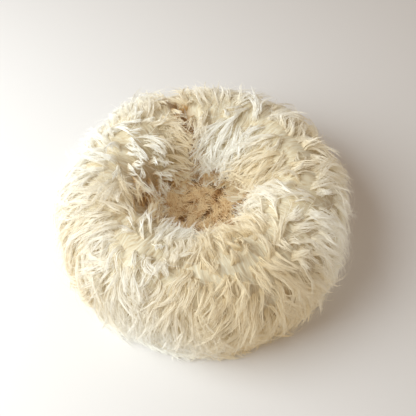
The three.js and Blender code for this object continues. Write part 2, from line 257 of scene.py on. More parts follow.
def grid_quads(rows, columns, close_rows=False, close_columns=False):
    """Faces of a grid of rows x columns points, with the last row or column joined to the first if asked."""
    i = np.arange(rows if close_rows else rows - 1)
    j = np.arange(columns if close_columns else columns - 1)
    i, j = [a.ravel() for a in np.meshgrid(i, j, indexing="ij")]
    i2, j2 = (i + 1) % rows, (j + 1) % columns
    return np.stack([i * columns + j, i * columns + j2, i2 * columns + j2, i2 * columns + j], 1)


def tube_faces(rows, columns, inside_out=False):
    """Corners and face sizes of a tube of rows x columns points whose two ends each close in one point. Those
    two come after all the others."""
    quads = grid_quads(rows, columns, close_columns=True)
    j = np.arange(columns)
    j2, last = (j + 1) % columns, (rows - 1) * columns
    low = np.stack([np.full(columns, rows * columns), j2, j], 1)
    high = np.stack([np.full(columns, rows * columns + 1), last + j, last + j2], 1)
    if inside_out:
        quads, low, high = quads[:, ::-1], low[:, ::-1], high[:, ::-1]
    totals = np.concatenate([np.full(len(quads), 4), np.full(2 * columns, 3)])
    return np.concatenate([quads.ravel(), low.ravel(), high.ravel()]), totals


def repeated(loops, totals, count, points):
    """Corners and face sizes of many copies, one after another, of a piece that has so many points."""
    return (np.arange(count)[:, None] * points + loops[None]).ravel(), np.tile(totals, count)


def point_values(thing, name, values):
    """Keeps three numbers for each vertex under a name that materials read."""
    layer = thing.data.attributes.new(name, "FLOAT_VECTOR", "POINT")
    layer.data.foreach_set("vector", np.ascontiguousarray(values, dtype=np.float32).ravel())


def finish_piece(thing, slot, nodes, body, *materials):
    """Gives a piece its materials and its body, and hides the frame parts that it stands for. Its slot is not
    used.
    """
    for material in materials:
        thing.data.materials.append(material)
    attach(thing, body)
    if nodes:
        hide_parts(*nodes)
    return thing


# ---------------------------------------------------------------------------------------------------
# Wool. A lock is a staple of strands that start apart on the hide and draw together at the tip.
# ---------------------------------------------------------------------------------------------------

RINGS = 5  # rings of three points along a strand, besides its tip
HIDDEN = 0.33  # share of a strand's length below the undercoat, which is left out
STRAND_SECTION = np.array([(1.0, -0.30), (0.0, 0.45), (-1.0, -0.30)])  # a low roof: across, outwards
LOWEST_WOOL = 0.4 * MM  # height that no strand reaches below
LOCK_LENGTH = 80  # mm, on the crest
LOCK_FOOT = 0.80  # radius of a lock where it is rooted, as a share of the spacing
LOOSE_HAIRS = 0.14  # share of strands that stray from their wisp
LENGTH_ACROSS = ((-1.1, -0.8, -0.35, 0, 0.5, 1), (0.42, 0.52, 0.7, 1.0, 1.15, 1.15))  # w, share of it


def unit(vectors):
    """Vectors made one long."""
    return vectors / (np.linalg.norm(vectors, axis=-1, keepdims=True) + 1e-12)


def strand_mesh(name, centres, outwards, radii, tips, values):
    """Closed three-sided strands. A ring's points are centre + radius * (a * side + b * top) for the three
    (a, b) of the section, where top is the outward direction made square to the strand's tangent, and side is
    top x tangent. The rings end in one point at the tip.
    centres and outwards are (strand, ring, 3), radii is (strand, ring), tips is (strand, 3), and values is
    (strand, ring + 1, 3) for the materials."""
    count, rings = radii.shape
    along = np.concatenate([centres, tips[:, None]], 1)
    tangent = unit(np.gradient(along, axis=1)[:, :rings])
    outwards = unit(outwards)
    top = unit(outwards - tangent * (outwards * tangent).sum(-1, keepdims=True))
    side = np.cross(top, tangent)
    a, b = STRAND_SECTION.T
    ring = side[:, :, None] * a[:, None] + top[:, :, None] * b[:, None]
    ring = centres[:, :, None] + ring * radii[:, :, None, None]
    vertices = np.concatenate([ring.reshape(count, rings * 3, 3), tips[:, None]], 1)
    vertices[..., 2] = np.maximum(vertices[..., 2], LOWEST_WOOL)

    k = np.arange(3)
    k2 = (k + 1) % 3
    walls = np.concatenate([np.stack([r * 3 + k, r * 3 + k2, (r + 1) * 3 + k2, (r + 1) * 3 + k], 1)
                            for r in range(rings - 1)])
    last = (rings - 1) * 3
    points = np.stack([last + k, last + k2, np.full(3, rings * 3)], 1)
    one = np.concatenate([walls.ravel(), points.ravel(), [2, 1, 0]])
    sizes = np.concatenate([np.full(len(walls), 4), np.full(4, 3)])
    loops, totals = repeated(one, sizes, count, rings * 3 + 1)
    thing = mesh_object(name, vertices, loops, totals, False)

    point = np.repeat(values, [3] * rings + [1], axis=1)
    point_values(thing, "wool", point.reshape(-1, 3))
    thing.data.uv_layers.new(name="OFBake").data.foreach_set("uv", strand_cells(count, rings))
    return thing


def strand_cells(count, rings):
    """UV corners that give each strand a cell of its own: three upright strips side by side, as long as the
    strand, over a small triangle for its root."""
    columns = int(math.ceil(math.sqrt(count * 6.0)))
    rows = int(math.ceil(count / columns))
    k = np.arange(3)
    low, high = 0.10, 0.96
    level = low + (high - low) * np.arange(rings + 1) / rings
    walls = [np.stack([np.stack([k / 3, np.full(3, level[r])], 1),
                       np.stack([(k + 1) / 3, np.full(3, level[r])], 1),
                       np.stack([(k + 1) / 3, np.full(3, level[r + 1])], 1),
                       np.stack([k / 3, np.full(3, level[r + 1])], 1)], 1) for r in range(rings - 1)]
    tips = np.stack([np.stack([k / 3, np.full(3, level[-2])], 1),
                     np.stack([(k + 1) / 3, np.full(3, level[-2])], 1),
                     np.stack([(k + 0.5) / 3, np.full(3, level[-1])], 1)], 1)
    root = np.array([[0.0, 0.0], [1.0, 0.0], [0.5, 0.08]])
    one = np.concatenate([np.concatenate(walls).reshape(-1, 2), tips.reshape(-1, 2), root])
    one = 0.06 + 0.88 * one
    number = np.arange(count)
    corner = np.stack([number % columns, number // columns], 1)
    uv = (corner[:, None] + one[None]) / np.array([columns, rows])
    return np.ascontiguousarray(uv, dtype=np.float32).ravel()


def scattered(draw, w0, w1, spacing, start=0.0, turn=TAU):
    """Places (w, angle) about one spacing apart on the hide: rows across w, each with as many places as fit
    round it, moved from an even grid by up to half a spacing."""
    fine = np.linspace(w0, w1, 400)
    hide = ring_point(fine, 0 * fine, 0.35)
    run = distance_along(hide)
    rows = max(int(round(run[-1] / spacing)), 1)
    levels = (np.arange(rows) + 0.5) / rows * run[-1]
    row_radius = np.interp(levels, run, hide[:, 0])
    counts = np.maximum((row_radius * turn / spacing).astype(int), 1)
    row = np.repeat(np.arange(rows), counts)
    place = np.concatenate([np.arange(n) for n in counts])
    angle = start + (place + 0.5 + draw.uniform(-0.5, 0.5, len(place))) / counts[row] * turn
    jitter = draw.uniform(-0.5, 0.5, len(row)) * run[-1] / rows
    w = np.interp(levels[row] + jitter, run, fine)
    return w, angle


def lock_fields(draw, w, angle):
    """What each lock does: which way it is combed, how far it swirls from that, its length, how high its tip
    stands, how it bends and how amber it is. comb is 1 outwards and -1 inwards, and small at the parting,
    where locks stand and fall every way."""
    count = len(w)
    aside = w - parting(angle)
    near = np.exp(-(aside / 0.12) ** 2)
    aside = aside + draw.normal(0, 0.07, count)
    comb = np.tanh(aside / 0.22) + draw.normal(0, 1, count) * (0.10 + 0.35 * near)
    comb = np.where(comb < 0, -1, 1) * np.clip(np.abs(comb), 0.12, 1.1)
    lobe = hump(angle, LOBE_ANGLE, math.radians(26)) * (w < 0.15)
    swirl = 0.22 * waves(31, angle, w, 10, 7, 4.0) + draw.normal(0, 0.06, count) * (1 + 4.0 * near)
    swirl = swirl * (1 + 0.9 * lobe)
    drape = np.clip(-w * 2, 0, 1) * hump(angle, math.radians(20), math.radians(65))
    swirl = swirl + 0.45 * drape
    length = (LOCK_LENGTH + 8 * waves(41, angle, w, 8, 8, 5.0) + draw.normal(0, 7, count)) * MM
    length = length * (1 + 0.10 * lobe + 0.45 * drape) * np.interp(w, *LENGTH_ACROSS)
    tip = 0.88 + 0.05 * draw.standard_normal(count) + 0.08 * lobe * draw.uniform(0, 1, count)
    bend = draw.normal(0, 0.12, count) + 0.10 * waves(51, angle, w, 9, 12, 8.0)
    amber = 0.5 + 0.5 * np.tanh(0.9 * waves(61, angle, w, 8, 5, 4.0) - 0.2 + 0.5 * np.cos(angle + 0.9))
    return comb, swirl, length, tip, bend, amber


def sideways_wave(draw, count, size, turns, t):
    """Sideways waves of a lock or wisp: size * sin(2 pi * turns * t + phase), growing from the hide
    outwards."""
    size = draw.gamma(2.4, size, (count, 1))
    turns, phase = draw.uniform(*turns, (count, 1)), draw.uniform(0, TAU, (count, 1))
    return size * np.sin(TAU * turns * t + phase) * np.minimum(1, 1.5 * t)


def wool_piece(name, draw, w, angle, wisps, per_wisp, width, lock_radius):
    """The strands of a set of locks rooted at (w, angle) on the ring. A lock is several wisps, and a wisp is
    several strands.
    Along a strand t goes from hidden, where it leaves the undercoat, to 1 at the tip. The height above the
    hide is rise * (1 - (1 - t)^2.8), and the way along it is run * (t^1.6 - hidden^1.6), turned from the comb
    direction by swirl + bend * t. A wisp's distance from the middle of its lock shrinks by 0.68 * t^1.3,
    less where the wool lies smooth, and a strand's from the middle of its wisp by 0.75 * t^1.4, so that locks
    and wisps end in points. Locks and wisps both wave from side to side."""
    comb, swirl, length, tip, bend, amber = lock_fields(draw, w, angle)
    locks = len(w)
    t = (HIDDEN + (1 - HIDDEN) * np.arange(RINGS + 1) / RINGS)[None]
    per_w, depth, radius = section_length(np.clip(w, -1.0, 1.0))
    rise = tip * wool_height(angle, w)
    run = np.sqrt(np.maximum(length ** 2 - (depth * rise) ** 2, (0.30 * length) ** 2)) * np.abs(comb) ** 0.5

    wisp_lock = np.repeat(np.arange(locks), wisps)
    wisp_count = len(wisp_lock)
    wisp_spin = draw.uniform(0, TAU, wisp_count)
    wisp_away = np.sqrt(draw.uniform(0, 1, wisp_count)) * lock_radius
    wisp_share = np.clip(draw.normal(0.92, 0.13, wisp_count), 0.55, 1.15)
    wisp_turn = draw.normal(0, 0.05, (wisp_count, 1)) + draw.normal(0, 0.14, (wisp_count, 1)) * t ** 2
    wave = sideways_wave(draw, locks, 1.15 * MM, (0.5, 1.3), t)[wisp_lock]
    wave = wave + sideways_wave(draw, wisp_count, 0.45 * MM, (1.0, 2.4), t)
    wisp_lift = draw.normal(0, 0.06, (wisp_count, 1))
    tip_lift = draw.gamma(1.2, 0.10, (wisp_count, 1))
    wisp_tone = draw.normal(0, 1, wisp_count)

    wisp = np.repeat(np.arange(wisp_count), per_wisp)
    lock = wisp_lock[wisp]
    count = len(wisp)
    loose = draw.uniform(0, 1, count) < LOOSE_HAIRS
    spin = draw.uniform(0, TAU, count)
    away = np.sqrt(draw.uniform(0, 1, count)) * 0.36 * lock_radius
    share = wisp_share[wisp] * np.clip(draw.normal(0.97, 0.07, count), 0.7, 1.12) + 0.10 * loose
    even = 0.65 * hump(angle, BACK_ANGLE, math.radians(42)) * np.clip(-w / 0.25, 0, 1)
    gather = 1 - 0.68 * (1 - even)[lock, None] * t ** 1.3
    tight = 1 - (0.75 - 0.6 * loose[:, None]) * t ** 1.4
    sideways = (wisp_away * np.cos(wisp_spin))[wisp, None] * gather + (away * np.cos(spin))[:, None] * tight
    sideways = sideways + wave[wisp] + draw.normal(0, 0.30 * MM, (count, RINGS + 1))
    upward = (wisp_away * np.sin(wisp_spin))[wisp, None] * gather + (away * np.sin(spin))[:, None] * tight
    upward = upward * 0.40 + draw.normal(0, 0.30 * MM, (count, RINGS + 1))
    stray = loose[:, None] * draw.normal(0, 1, (count, 1))

    ahead = share[:, None] * run[lock, None] * (t ** 1.6 - HIDDEN ** 1.6)
    heading = swirl[lock, None] + wisp_turn[wisp] + (bend[lock, None] * 2.2 + 0.5 * stray) * t
    sense = np.sign(comb)[lock, None]
    along_w = ahead * np.cos(heading) * sense - sideways * np.sin(heading)
    round_ring = ahead * np.sin(heading) + sideways * np.cos(heading)
    w_path = w[lock, None] + along_w / per_w[lock, None]
    angle_path = angle[lock, None] + round_ring / np.maximum(radius[lock, None], 0.06)
    beyond = np.maximum(w_path - 0.95, 0)
    w_path = np.maximum(w_path - beyond + 0.16 * np.tanh(beyond / 0.25), -1.16)
    h_path = rise[lock, None] * (1 - (1 - t) ** 2.8) * (0.9 + 0.10 * share[:, None]) + wisp_lift[wisp] * t
    h_path = h_path + tip_lift[wisp] * t ** 4
    h_path = h_path + upward / depth[lock, None] + 0.16 * np.abs(stray) * t ** 2
    h_path = np.clip(h_path, 0.02, 1.42) * np.interp(w_path, [0.75, 1.05], [1.0, 0.84])
    path = ring_point(w_path, angle_path, h_path)

    start = path[:, :1]
    outwards = unit(ring_point(w_path, angle_path, h_path + 0.3)[:, :-1] - path[:, :-1])
    lean = unit(path[:, -1:] - start)
    outwards = outwards - 0.35 * lean * (1 - t[..., :-1, None])
    thick = width * np.clip(draw.normal(1.0, 0.2, (count, 1)), 0.5, 1.6) * np.where(loose, 0.5, 1.0)[:, None]
    radii = thick * np.interp(np.arange(RINGS) / (RINGS - 1), [0, 0.2, 0.65, 1], [0.95, 1.0, 0.9, 0.6])
    tone = wisp_tone[wisp] * 0.6 + draw.normal(0, 0.5, count)
    # Strands turn browner towards the root where roots show and where shade is painted: the crease, the
    # shaded inner wall and low in the nest.
    root_and_shade_share = roots_and_painted_shade(angle_path[:, :1], w_path[:, :1])
    values = np.stack([t - 0.95 * root_and_shade_share * (1 - t) ** 0.6,
                       np.broadcast_to(0.5 + 0.2 * tone[:, None], (count, RINGS + 1)),
                       np.broadcast_to(amber[lock, None], (count, RINGS + 1))], -1)
    return strand_mesh(name, path[:, :-1], outwards, radii, path[:, -1], values)


FLOOR_REACH = HOLLOW_RADIUS + 0.004  # radius of the floor's wool
FLOOR_SPACING = 0.0100
FLOOR_LOCK_RADIUS = 0.0078
FLOOR_LENGTH = 0.034
FLOOR_STRANDS = 22  # in each lock
FLOOR_STRAND_RADIUS = 0.0006


def floor_wool_piece(name, draw):
    """Short curly locks over the nest's round floor: roots on a sunflower spiral about the middle, and each
    lock leans in its own direction and curls sideways as it rises."""
    low, high, reach = INNER_FOOT, FLOOR_HIGH[2], FLOOR_REACH
    count = int(math.pi * reach ** 2 / FLOOR_SPACING ** 2)
    number = np.arange(count) + 0.5
    radius, turn = reach * np.sqrt(number / count), number * math.pi * (1 + math.sqrt(5))
    middle = np.stack([radius * np.cos(turn), radius * np.sin(turn)], 1) + draw.normal(0, 0.0025, (count, 2))
    lean = 1.4 * waves(71, turn, radius * 20, 6, 3, 2.0) + draw.normal(0, 0.6, count)
    lock = np.repeat(np.arange(count), FLOOR_STRANDS)
    total = len(lock)
    t = (np.arange(RINGS + 1) / RINGS)[None]
    spin, away = draw.uniform(0, TAU, total), np.sqrt(draw.uniform(0, 1, total)) * FLOOR_LOCK_RADIUS
    share = np.clip(draw.normal(0.9, 0.15, total), 0.5, 1.2)[:, None]
    curl = draw.normal(0, 0.9, count)[lock, None] + draw.normal(0, 0.25, (total, 1))
    ahead = FLOOR_LENGTH * share * t ** 1.2 * 0.75
    heading = lean[lock, None] + curl * t
    tight = 1 - 0.80 * t ** 1.5
    x = middle[lock, 0, None] + away[:, None] * np.cos(spin)[:, None] * tight + ahead * np.cos(heading)
    y = middle[lock, 1, None] + away[:, None] * np.sin(spin)[:, None] * tight + ahead * np.sin(heading)
    x, y = x + draw.normal(0, 0.0003, x.shape), y + draw.normal(0, 0.0003, y.shape)
    out = np.maximum(np.hypot(x, y) / (reach + 0.004), 1)
    height = 0.70 + 0.12 * draw.standard_normal((total, 1))
    z = low + (high - low) * (0.25 + height * (1 - (1 - t) ** 1.6) * share)
    path = np.stack([x / out, y / out, np.minimum(z, high + 0.004)], -1)
    turned = heading[:, :-1]
    outwards = np.stack([-0.4 * np.cos(turned), -0.4 * np.sin(turned), np.ones_like(turned)], -1)
    radii = FLOOR_STRAND_RADIUS * np.interp(t[:, :-1], [0, 0.3, 0.7, 1], [0.8, 1, 0.8, 0.3])
    radii = radii * np.ones((total, 1))
    tone = draw.normal(0, 1, count)[lock] * 0.6 + draw.normal(0, 0.5, total)
    stain = 0.5 + 0.5 * np.tanh((x / 0.02) - 0.2)
    values = np.stack([0 * x + t, 0 * x + 0.5 + 0.2 * tone[:, None], stain], -1)
    return strand_mesh(name, path[:, :-1], outwards, radii, path[:, -1], values)


# ---------------------------------------------------------------------------------------------------
# Inserts, base and zip
# ---------------------------------------------------------------------------------------------------

BOLSTER_FOOT = 0.046  # width of the flat that the bolster rests on
BOLSTER_SEAMS = (0.145, 0.5, 0.855)  # seams of the bolster's liner, as shares of the way round its section
LINER = 0.0012  # thickness of the calico
CLEAR = 0.0003  # how far the calico stays inside the room that its insert has
FILLING = 0.0008 + LINER  # how far the filling stays inside it
SLIT_LENGTH = 0.150  # opening that the filling goes in through, laced shut
SLIT_ANGLE = -math.pi / 2  # the slits face the front
LACES = 25  # stitches that lace a slit
LACE_RADIUS = 0.35 * MM
STITCH_PITCH, STITCH_SHARE = 3.5 * MM, 0.62  # of the base's running stitches, and how much of it shows
STITCH_RADIUS = 0.28 * MM
STITCH_HEIGHT = 0.15 * MM
TOOTH_PITCH = 5.5 * MM
TOOTH_TIP, TOOTH_ROOT = 0.85 * MM, 3.1 * MM  # distance of a tooth's ends from the middle of the zip


def ring_piece(name, points, poles=False):
    """Closed surface of rows that go all the way round. The rows join the last to the first, or end in a pole
    at each end. points is (row, column, 3)."""
    rows, columns = points.shape[:2]
    if not poles:
        return quad_object(name, points, grid_quads(rows, columns, close_rows=True, close_columns=True))
    vertices = np.concatenate([points.reshape(-1, 3), points[[0, -1]].mean(1)])
    return mesh_object(name, vertices, *tube_faces(rows, columns))


def polar(radius, z, angle):
    """Points (row, column, 3) from radius and height, each (row, column) or (row, 1), and the angles."""
    radius, z, angle = np.broadcast_arrays(radius, z, angle[None])
    return np.stack([radius * np.cos(angle), radius * np.sin(angle), z], -1)


def evenly(points, count):
    """count points at equal steps along a line of (radius, height) points, ends included."""
    points = np.array(points)
    run = distance_along(points)
    place = np.linspace(0, run[-1], count)
    return np.stack([np.interp(place, run, points[:, k]) for k in range(2)], 1)


def slit_gap(angle, arc):
    """Gap between the lips of a filling slit: 3 mm over the arc that is laced, 0.4 mm where it is sewn
    shut."""
    d = np.abs((angle - SLIT_ANGLE + math.pi) % TAU - math.pi)
    return 0.4 * MM + 2.6 * MM * np.clip((arc - d) / 0.05 + 0.5, 0, 1)


def seam_pinch(run, places, angle, depth, width, puckers):
    """How far cloth is drawn in near seams at the given places along a section: depth * exp(-(d / width)^2),
    with puckers that fade out twice as far from the seam."""
    near = sum(np.exp(-((run - place) / width) ** 2) for place in places)
    wide = sum(np.exp(-((run - place) / (4 * width)) ** 2) for place in places)
    return depth * near + 0.35 * depth * wide * (1 + np.sin(puckers * angle + 3 * np.sin(7 * angle)))


def bolster_surface(inset, rows, angle, gap, seams):
    """The bolster's skin, drawn in by inset: from one lip of the slit under it, round over the top, to the
    other lip, with seams at the shares of the way given. Cloth is only ever moved inwards."""
    half, foot = BOLSTER_HIGH[0] - CREST_RADIUS - inset, BOLSTER_FOOT / 2
    low, high = BOLSTER_LOW[2] + inset, BOLSTER_HIGH[2] - inset
    right = np.concatenate([
        [(0, low), (foot, low)],
        quarter((foot, low), (half, WAIST_HEIGHT), False),
        quarter((half, WAIST_HEIGHT), (0, high), True),
    ])
    section = evenly(np.concatenate([right, right[-2::-1] * (-1, 1)]), rows)
    slope = np.gradient(section, axis=0)
    inward = unit(np.stack([-slope[:, 1], slope[:, 0]], 1))
    run = np.linspace(0, 1, rows)[:, None]
    drawn = seam_pinch(run, seams, angle[None], 2.2 * MM, 0.008, 150)
    lumps = 0.7 * MM * (1 + 0.5 * waves(101, angle[None], 8 * run, 16, 24, 5.0))
    drawn = (drawn + np.maximum(lumps, 0)) * np.minimum(1, np.minimum(run, 1 - run) * 14)
    across = section[:, :1] + inward[:, :1] * drawn
    across = np.where(run < 0.5, np.maximum(across, gap / 2), np.minimum(across, -gap / 2))
    return CREST_RADIUS + across, section[:, 1:] + inward[:, 1:] * drawn


def pad_surface(inset, rows, angle, gap, top):
    """One cloth of the floor pad, drawn in by inset: from the middle out to the seam round its rim. The pad
    is crowned, and the cloth puckers at the seam."""
    radius, round_edge = PAD_HIGH[0] - inset, 5 * MM
    middle = (PAD_LOW[2] + PAD_HIGH[2]) / 2
    level = PAD_HIGH[2] - inset if top else PAD_LOW[2] + inset
    sign = 1 if top else -1
    path = np.concatenate([
        [(0.0004, level), (radius - 1.6 * round_edge, level)],
        quarter((radius - 1.6 * round_edge, level), (radius, middle), False),
    ])
    path = evenly(path, rows)
    run = np.linspace(0, 1, rows)[:, None]
    crown = (2.4 if top else 0.8) * MM * np.clip(path[:, :1] / radius, 0, 1) ** 3
    lumps = 0.5 * MM * (1 + 0.5 * waves(111, angle[None], 6 * run, 14, 12, 4.0)) * np.minimum(1, run * 8)
    pinch = seam_pinch(run, (1.0,), angle[None], 1.2 * MM, 0.02, 90)
    z = path[:, 1:] - sign * (crown + np.maximum(lumps, 0)) * (1 - run ** 6)
    z = np.maximum(z, middle + gap / 2) if top else np.minimum(z, middle - gap / 2)
    return path[:, :1] - pinch * run ** 4, z


def lacing(draw, slit_radius, radius, spread, z, upright):
    """Centre lines (stitch, point, 3) of stitches that cross a slit round the ring, each a low arch over the
    slit, leaning the other way from its neighbour."""
    reach = SLIT_LENGTH / 2 / slit_radius
    angle = np.linspace(SLIT_ANGLE - reach, SLIT_ANGLE + reach, LACES) + draw.normal(0, 0.0006, LACES)
    u = np.linspace(-1, 1, 5)
    lean = 0.006 * np.where(np.arange(LACES) % 2, 1, -1)
    a = angle[:, None] + lean[:, None] * u
    arch = 0.5 * MM * (1 - u[None] ** 2)
    across = spread * u[None]
    r = radius + (arch if upright else across)
    height = z + (across if upright else -arch)
    r, height = np.broadcast_to(r, a.shape), np.broadcast_to(height, a.shape)
    return np.stack([r * np.cos(a), r * np.sin(a), height], -1)


def thread_piece(name, lines, radius):
    """Round closed threads along lines (thread, point, 3): rings of six points whose radius follows
    radius * (1 - u^4)^0.5, with u from -1 to 1 along the thread, and a pole at each end."""
    threads, steps = lines.shape[:2]
    tangent = unit(np.gradient(lines, axis=1))
    helper = np.where(np.abs(tangent[..., 2:]) > 0.8, [1.0, 0, 0], [0, 0, 1.0])
    side = unit(np.cross(tangent, helper))
    top = np.cross(side, tangent)
    turn = np.arange(6) * TAU / 6
    u = np.linspace(-0.97, 0.97, steps)
    size = radius * np.sqrt(1 - u ** 4)
    ring = side[:, :, None] * np.cos(turn)[:, None] + top[:, :, None] * np.sin(turn)[:, None]
    ring = lines[:, :, None] + ring * size[None, :, None, None]
    ends = lines[:, [0, -1]] + tangent[:, [0, -1]] * radius * np.array([-0.3, 0.3])[:, None]
    vertices = np.concatenate([ring.reshape(threads, -1, 3), ends], 1)
    return mesh_object(name, vertices, *repeated(*tube_faces(steps, 6), threads, steps * 6 + 2))


def stitches_along(points):
    """Centre lines of running stitches round a closed path of (x, y, z) points."""
    points = np.concatenate([points, points[:1]])
    run = distance_along(points)
    count = int(run[-1] / STITCH_PITCH)
    along = np.arange(count)[:, None] + 0.5 + np.linspace(-0.5, 0.5, 4)[None] * STITCH_SHARE
    return np.stack([np.interp(along * run[-1] / count, run, points[:, k]) for k in range(3)], -1)


def merged_copy(node, flatten=False):
    """A copy of a frame part's mesh with its loose triangles joined, and its flat faces whole if asked."""
    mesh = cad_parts[node].data.copy()
    mesh.materials.clear()
    work = bmesh.new()
    work.from_mesh(mesh)
    bmesh.ops.remove_doubles(work, verts=work.verts, dist=1e-6)
    if flatten:
        bmesh.ops.dissolve_limit(work, angle_limit=math.radians(1), verts=work.verts, edges=work.edges)
        bmesh.ops.triangulate(work, faces=[f for f in work.faces if len(f.verts) > 4])
    work.to_mesh(mesh)
    work.free()
    return mesh


def bevelled_copy(node, name, width):
    """A copy of a hard part with its edges rounded."""
    thing = bpy.data.objects.new(name, merged_copy(node, True))
    bpy.context.scene.collection.objects.link(thing)
    bevel = thing.modifiers.new("Rounded edges", "BEVEL")
    bevel.width, bevel.segments, bevel.limit_method = width, 2, "ANGLE"
    bevel.angle_limit, bevel.harden_normals = math.radians(40), False
    return thing


def tooth_row(name, side, phase):
    """A row of moulded teeth on its corded edge. A tooth is a rounded block: each of its coordinates is its
    half size times sign(c) |c|^0.45, where c is that coordinate of a round ball, and it narrows to the tip.
    The rows stay apart by the slider's neck, which runs between them."""
    low, high = node_size("zip_teeth_back")
    count = int((high[0] - low[0]) / TOOTH_PITCH) - 1
    rows, columns = 7, 12
    v = np.linspace(0, math.pi, rows + 2)[1:-1, None]
    u = np.arange(columns)[None] * TAU / columns
    ball = np.stack([np.sin(v) * np.cos(u), np.sin(v) * np.sin(u), np.cos(v) + 0 * u], -1)
    poles = np.array([[0, 0, 1.0], [0, 0, -1.0]])
    ball = np.concatenate([ball.reshape(-1, 3), poles])
    block = np.sign(ball) * np.abs(ball) ** 0.45
    half = np.array([1.5 * MM, (TOOTH_ROOT - TOOTH_TIP) / 2, 1.1 * MM])
    narrow = 1 - 0.25 * (block[:, 1] < 0)
    tooth = block * half * np.stack([narrow, 1 + 0 * narrow, 1 + 0 * narrow], 1)
    tooth[:, 1] = (tooth[:, 1] + (TOOTH_ROOT + TOOTH_TIP) / 2) * side
    x = (np.arange(count) - (count - 1) / 2 + phase) * TOOTH_PITCH
    middle = (low[2] + high[2]) / 2
    vertices = tooth[None] + np.stack([x, 0 * x, 0 * x + middle], 1)[:, None]
    faces = tube_faces(rows, columns, inside_out=side < 0)
    return mesh_object(name, vertices, *repeated(*faces, count, len(ball)))


# ---------------------------------------------------------------------------------------------------
# Materials
# ---------------------------------------------------------------------------------------------------

def new_group(name, inputs, outputs):
    """An empty node group with named sockets: (name, kind, default) for inputs, (name, kind) for outputs."""
    group = bpy.data.node_groups.new(name, "ShaderNodeTree")
    for title, kind, default in inputs:
        socket = group.interface.new_socket(title, in_out="INPUT", socket_type="NodeSocket" + kind)
        socket.default_value = default
    for title, kind in outputs:
        group.interface.new_socket(title, in_out="OUTPUT", socket_type="NodeSocket" + kind)
    return group, Nodes(group)


class Nodes:
    """Adds nodes to a tree and links them by socket name."""

    def __init__(self, tree):
        self.tree = tree

    def add(self, kind, inputs=(), **settings):
        """A node with its settings made first, and its inputs linked or set."""
        node = self.tree.nodes.new(kind)
        for key, value in settings.items():
            setattr(node, key, value)
        for key, value in dict(inputs).items():
            if isinstance(value, bpy.types.NodeSocket):
                self.tree.links.new(value, node.inputs[key])
            else:
                node.inputs[key].default_value = value
        return node

    def feed(self, shader, key, value):
        """Links a value to one of the shader's sockets."""
        self.tree.links.new(value, shader.inputs[key])

    def place(self):
        """Coordinates of the piece's own object."""
        return self.add("ShaderNodeTexCoord").outputs["Object"]

    def noise(self, place, scale, detail, distortion=0.0):
        return self.add("ShaderNodeTexNoise", {"Vector": place, "Scale": scale, "Detail": detail,
                                               "Distortion": distortion}).outputs[0]

    def spread(self, value, low, high):
        """A value from 0 to 1 spread over low to high."""
        return self.add("ShaderNodeMapRange", {"Value": value, "To Min": low, "To Max": high}).outputs[0]

    def relief(self, shader, height, strength, distance):
        """Bumps on the shader's surface, as deep as the distance in metres."""
        bump = self.add("ShaderNodeBump", {"Height": height, "Strength": strength, "Distance": distance})
        self.feed(shader, "Normal", bump.outputs[0])

    def math(self, operation, a, b=0.0, clamp=False):
        return self.add("ShaderNodeMath", {0: a, 1: b}, operation=operation, use_clamp=clamp).outputs[0]

    def blend(self, factor, a, b, mode="MIX"):
        node = self.add("ShaderNodeMix", {0: factor, 6: a, 7: b}, data_type="RGBA", blend_type=mode)
        return node.outputs[2]

    def ramp(self, value, stops):
        """Colours that run evenly from one (place, colour) stop to the next."""
        node = self.add("ShaderNodeValToRGB", {0: value})
        elements = node.color_ramp.elements
        while len(elements) < len(stops):
            elements.new(0.5)
        for element, (place, colour) in zip(elements, stops):
            element.position, element.color = place, colour
        return node.outputs[0]


WHITE = (1, 1, 1, 1)


def srgb(red, green, blue):
    """Linear colour with alpha from 0..255 values."""
    c = np.array([red, green, blue]) / 255
    linear = np.where(c <= 0.04045, c / 12.92, ((c + 0.055) / 1.055) ** 2.4)
    return (*[float(v) for v in linear], 1.0)


def material(name, **plain):
    """A material with its Principled shader, whose plain values are set on the sockets themselves."""
    made = bpy.data.materials.new(name)
    made.use_nodes = True
    nodes = Nodes(made.node_tree)
    shader = made.node_tree.nodes["Principled BSDF"]
    for key, value in plain.items():
        shader.inputs[key.replace("_", " ")].default_value = value
    return made, nodes, shader


def wool_group():
    """Colour of a strand of wool: amber at the root, cream in the middle and ivory at the tip, brighter or
    darker lock by lock, with an amber stain in places."""
    if "Wool colour" in bpy.data.node_groups:
        return bpy.data.node_groups["Wool colour"]
    values = [(title, "Float", 0.5) for title in ("Along", "Tone", "Stain", "Stain strength")]
    colours = [(title, "Color", WHITE) for title in ("Root", "Middle", "Tip", "Stained")]
    group, nodes = new_group("Wool colour", values + colours, [("Color", "Color")])
    given = nodes.add("NodeGroupInput").outputs
    to_middle = nodes.add("ShaderNodeMapRange", {"Value": given["Along"], "From Min": 0.10, "From Max": 0.42},
                          interpolation_type="SMOOTHSTEP").outputs[0]
    to_tip = nodes.add("ShaderNodeMapRange", {"Value": given["Along"], "From Min": 0.38, "From Max": 0.80},
                       interpolation_type="SMOOTHSTEP").outputs[0]
    lower = nodes.blend(to_middle, given["Root"], given["Middle"])
    colour = nodes.blend(to_tip, lower, given["Tip"])
    stain = nodes.math("MULTIPLY", given["Stain"], given["Stain strength"])
    colour = nodes.blend(stain, colour, given["Stained"], "MULTIPLY")
    bright = nodes.math("MULTIPLY_ADD", given["Tone"], 0.22)
    bright.node.inputs[2].default_value = 0.89
    colour = nodes.blend(1.0, colour, bright, "MULTIPLY")
    nodes.add("NodeGroupOutput", {"Color": colour})
    return group


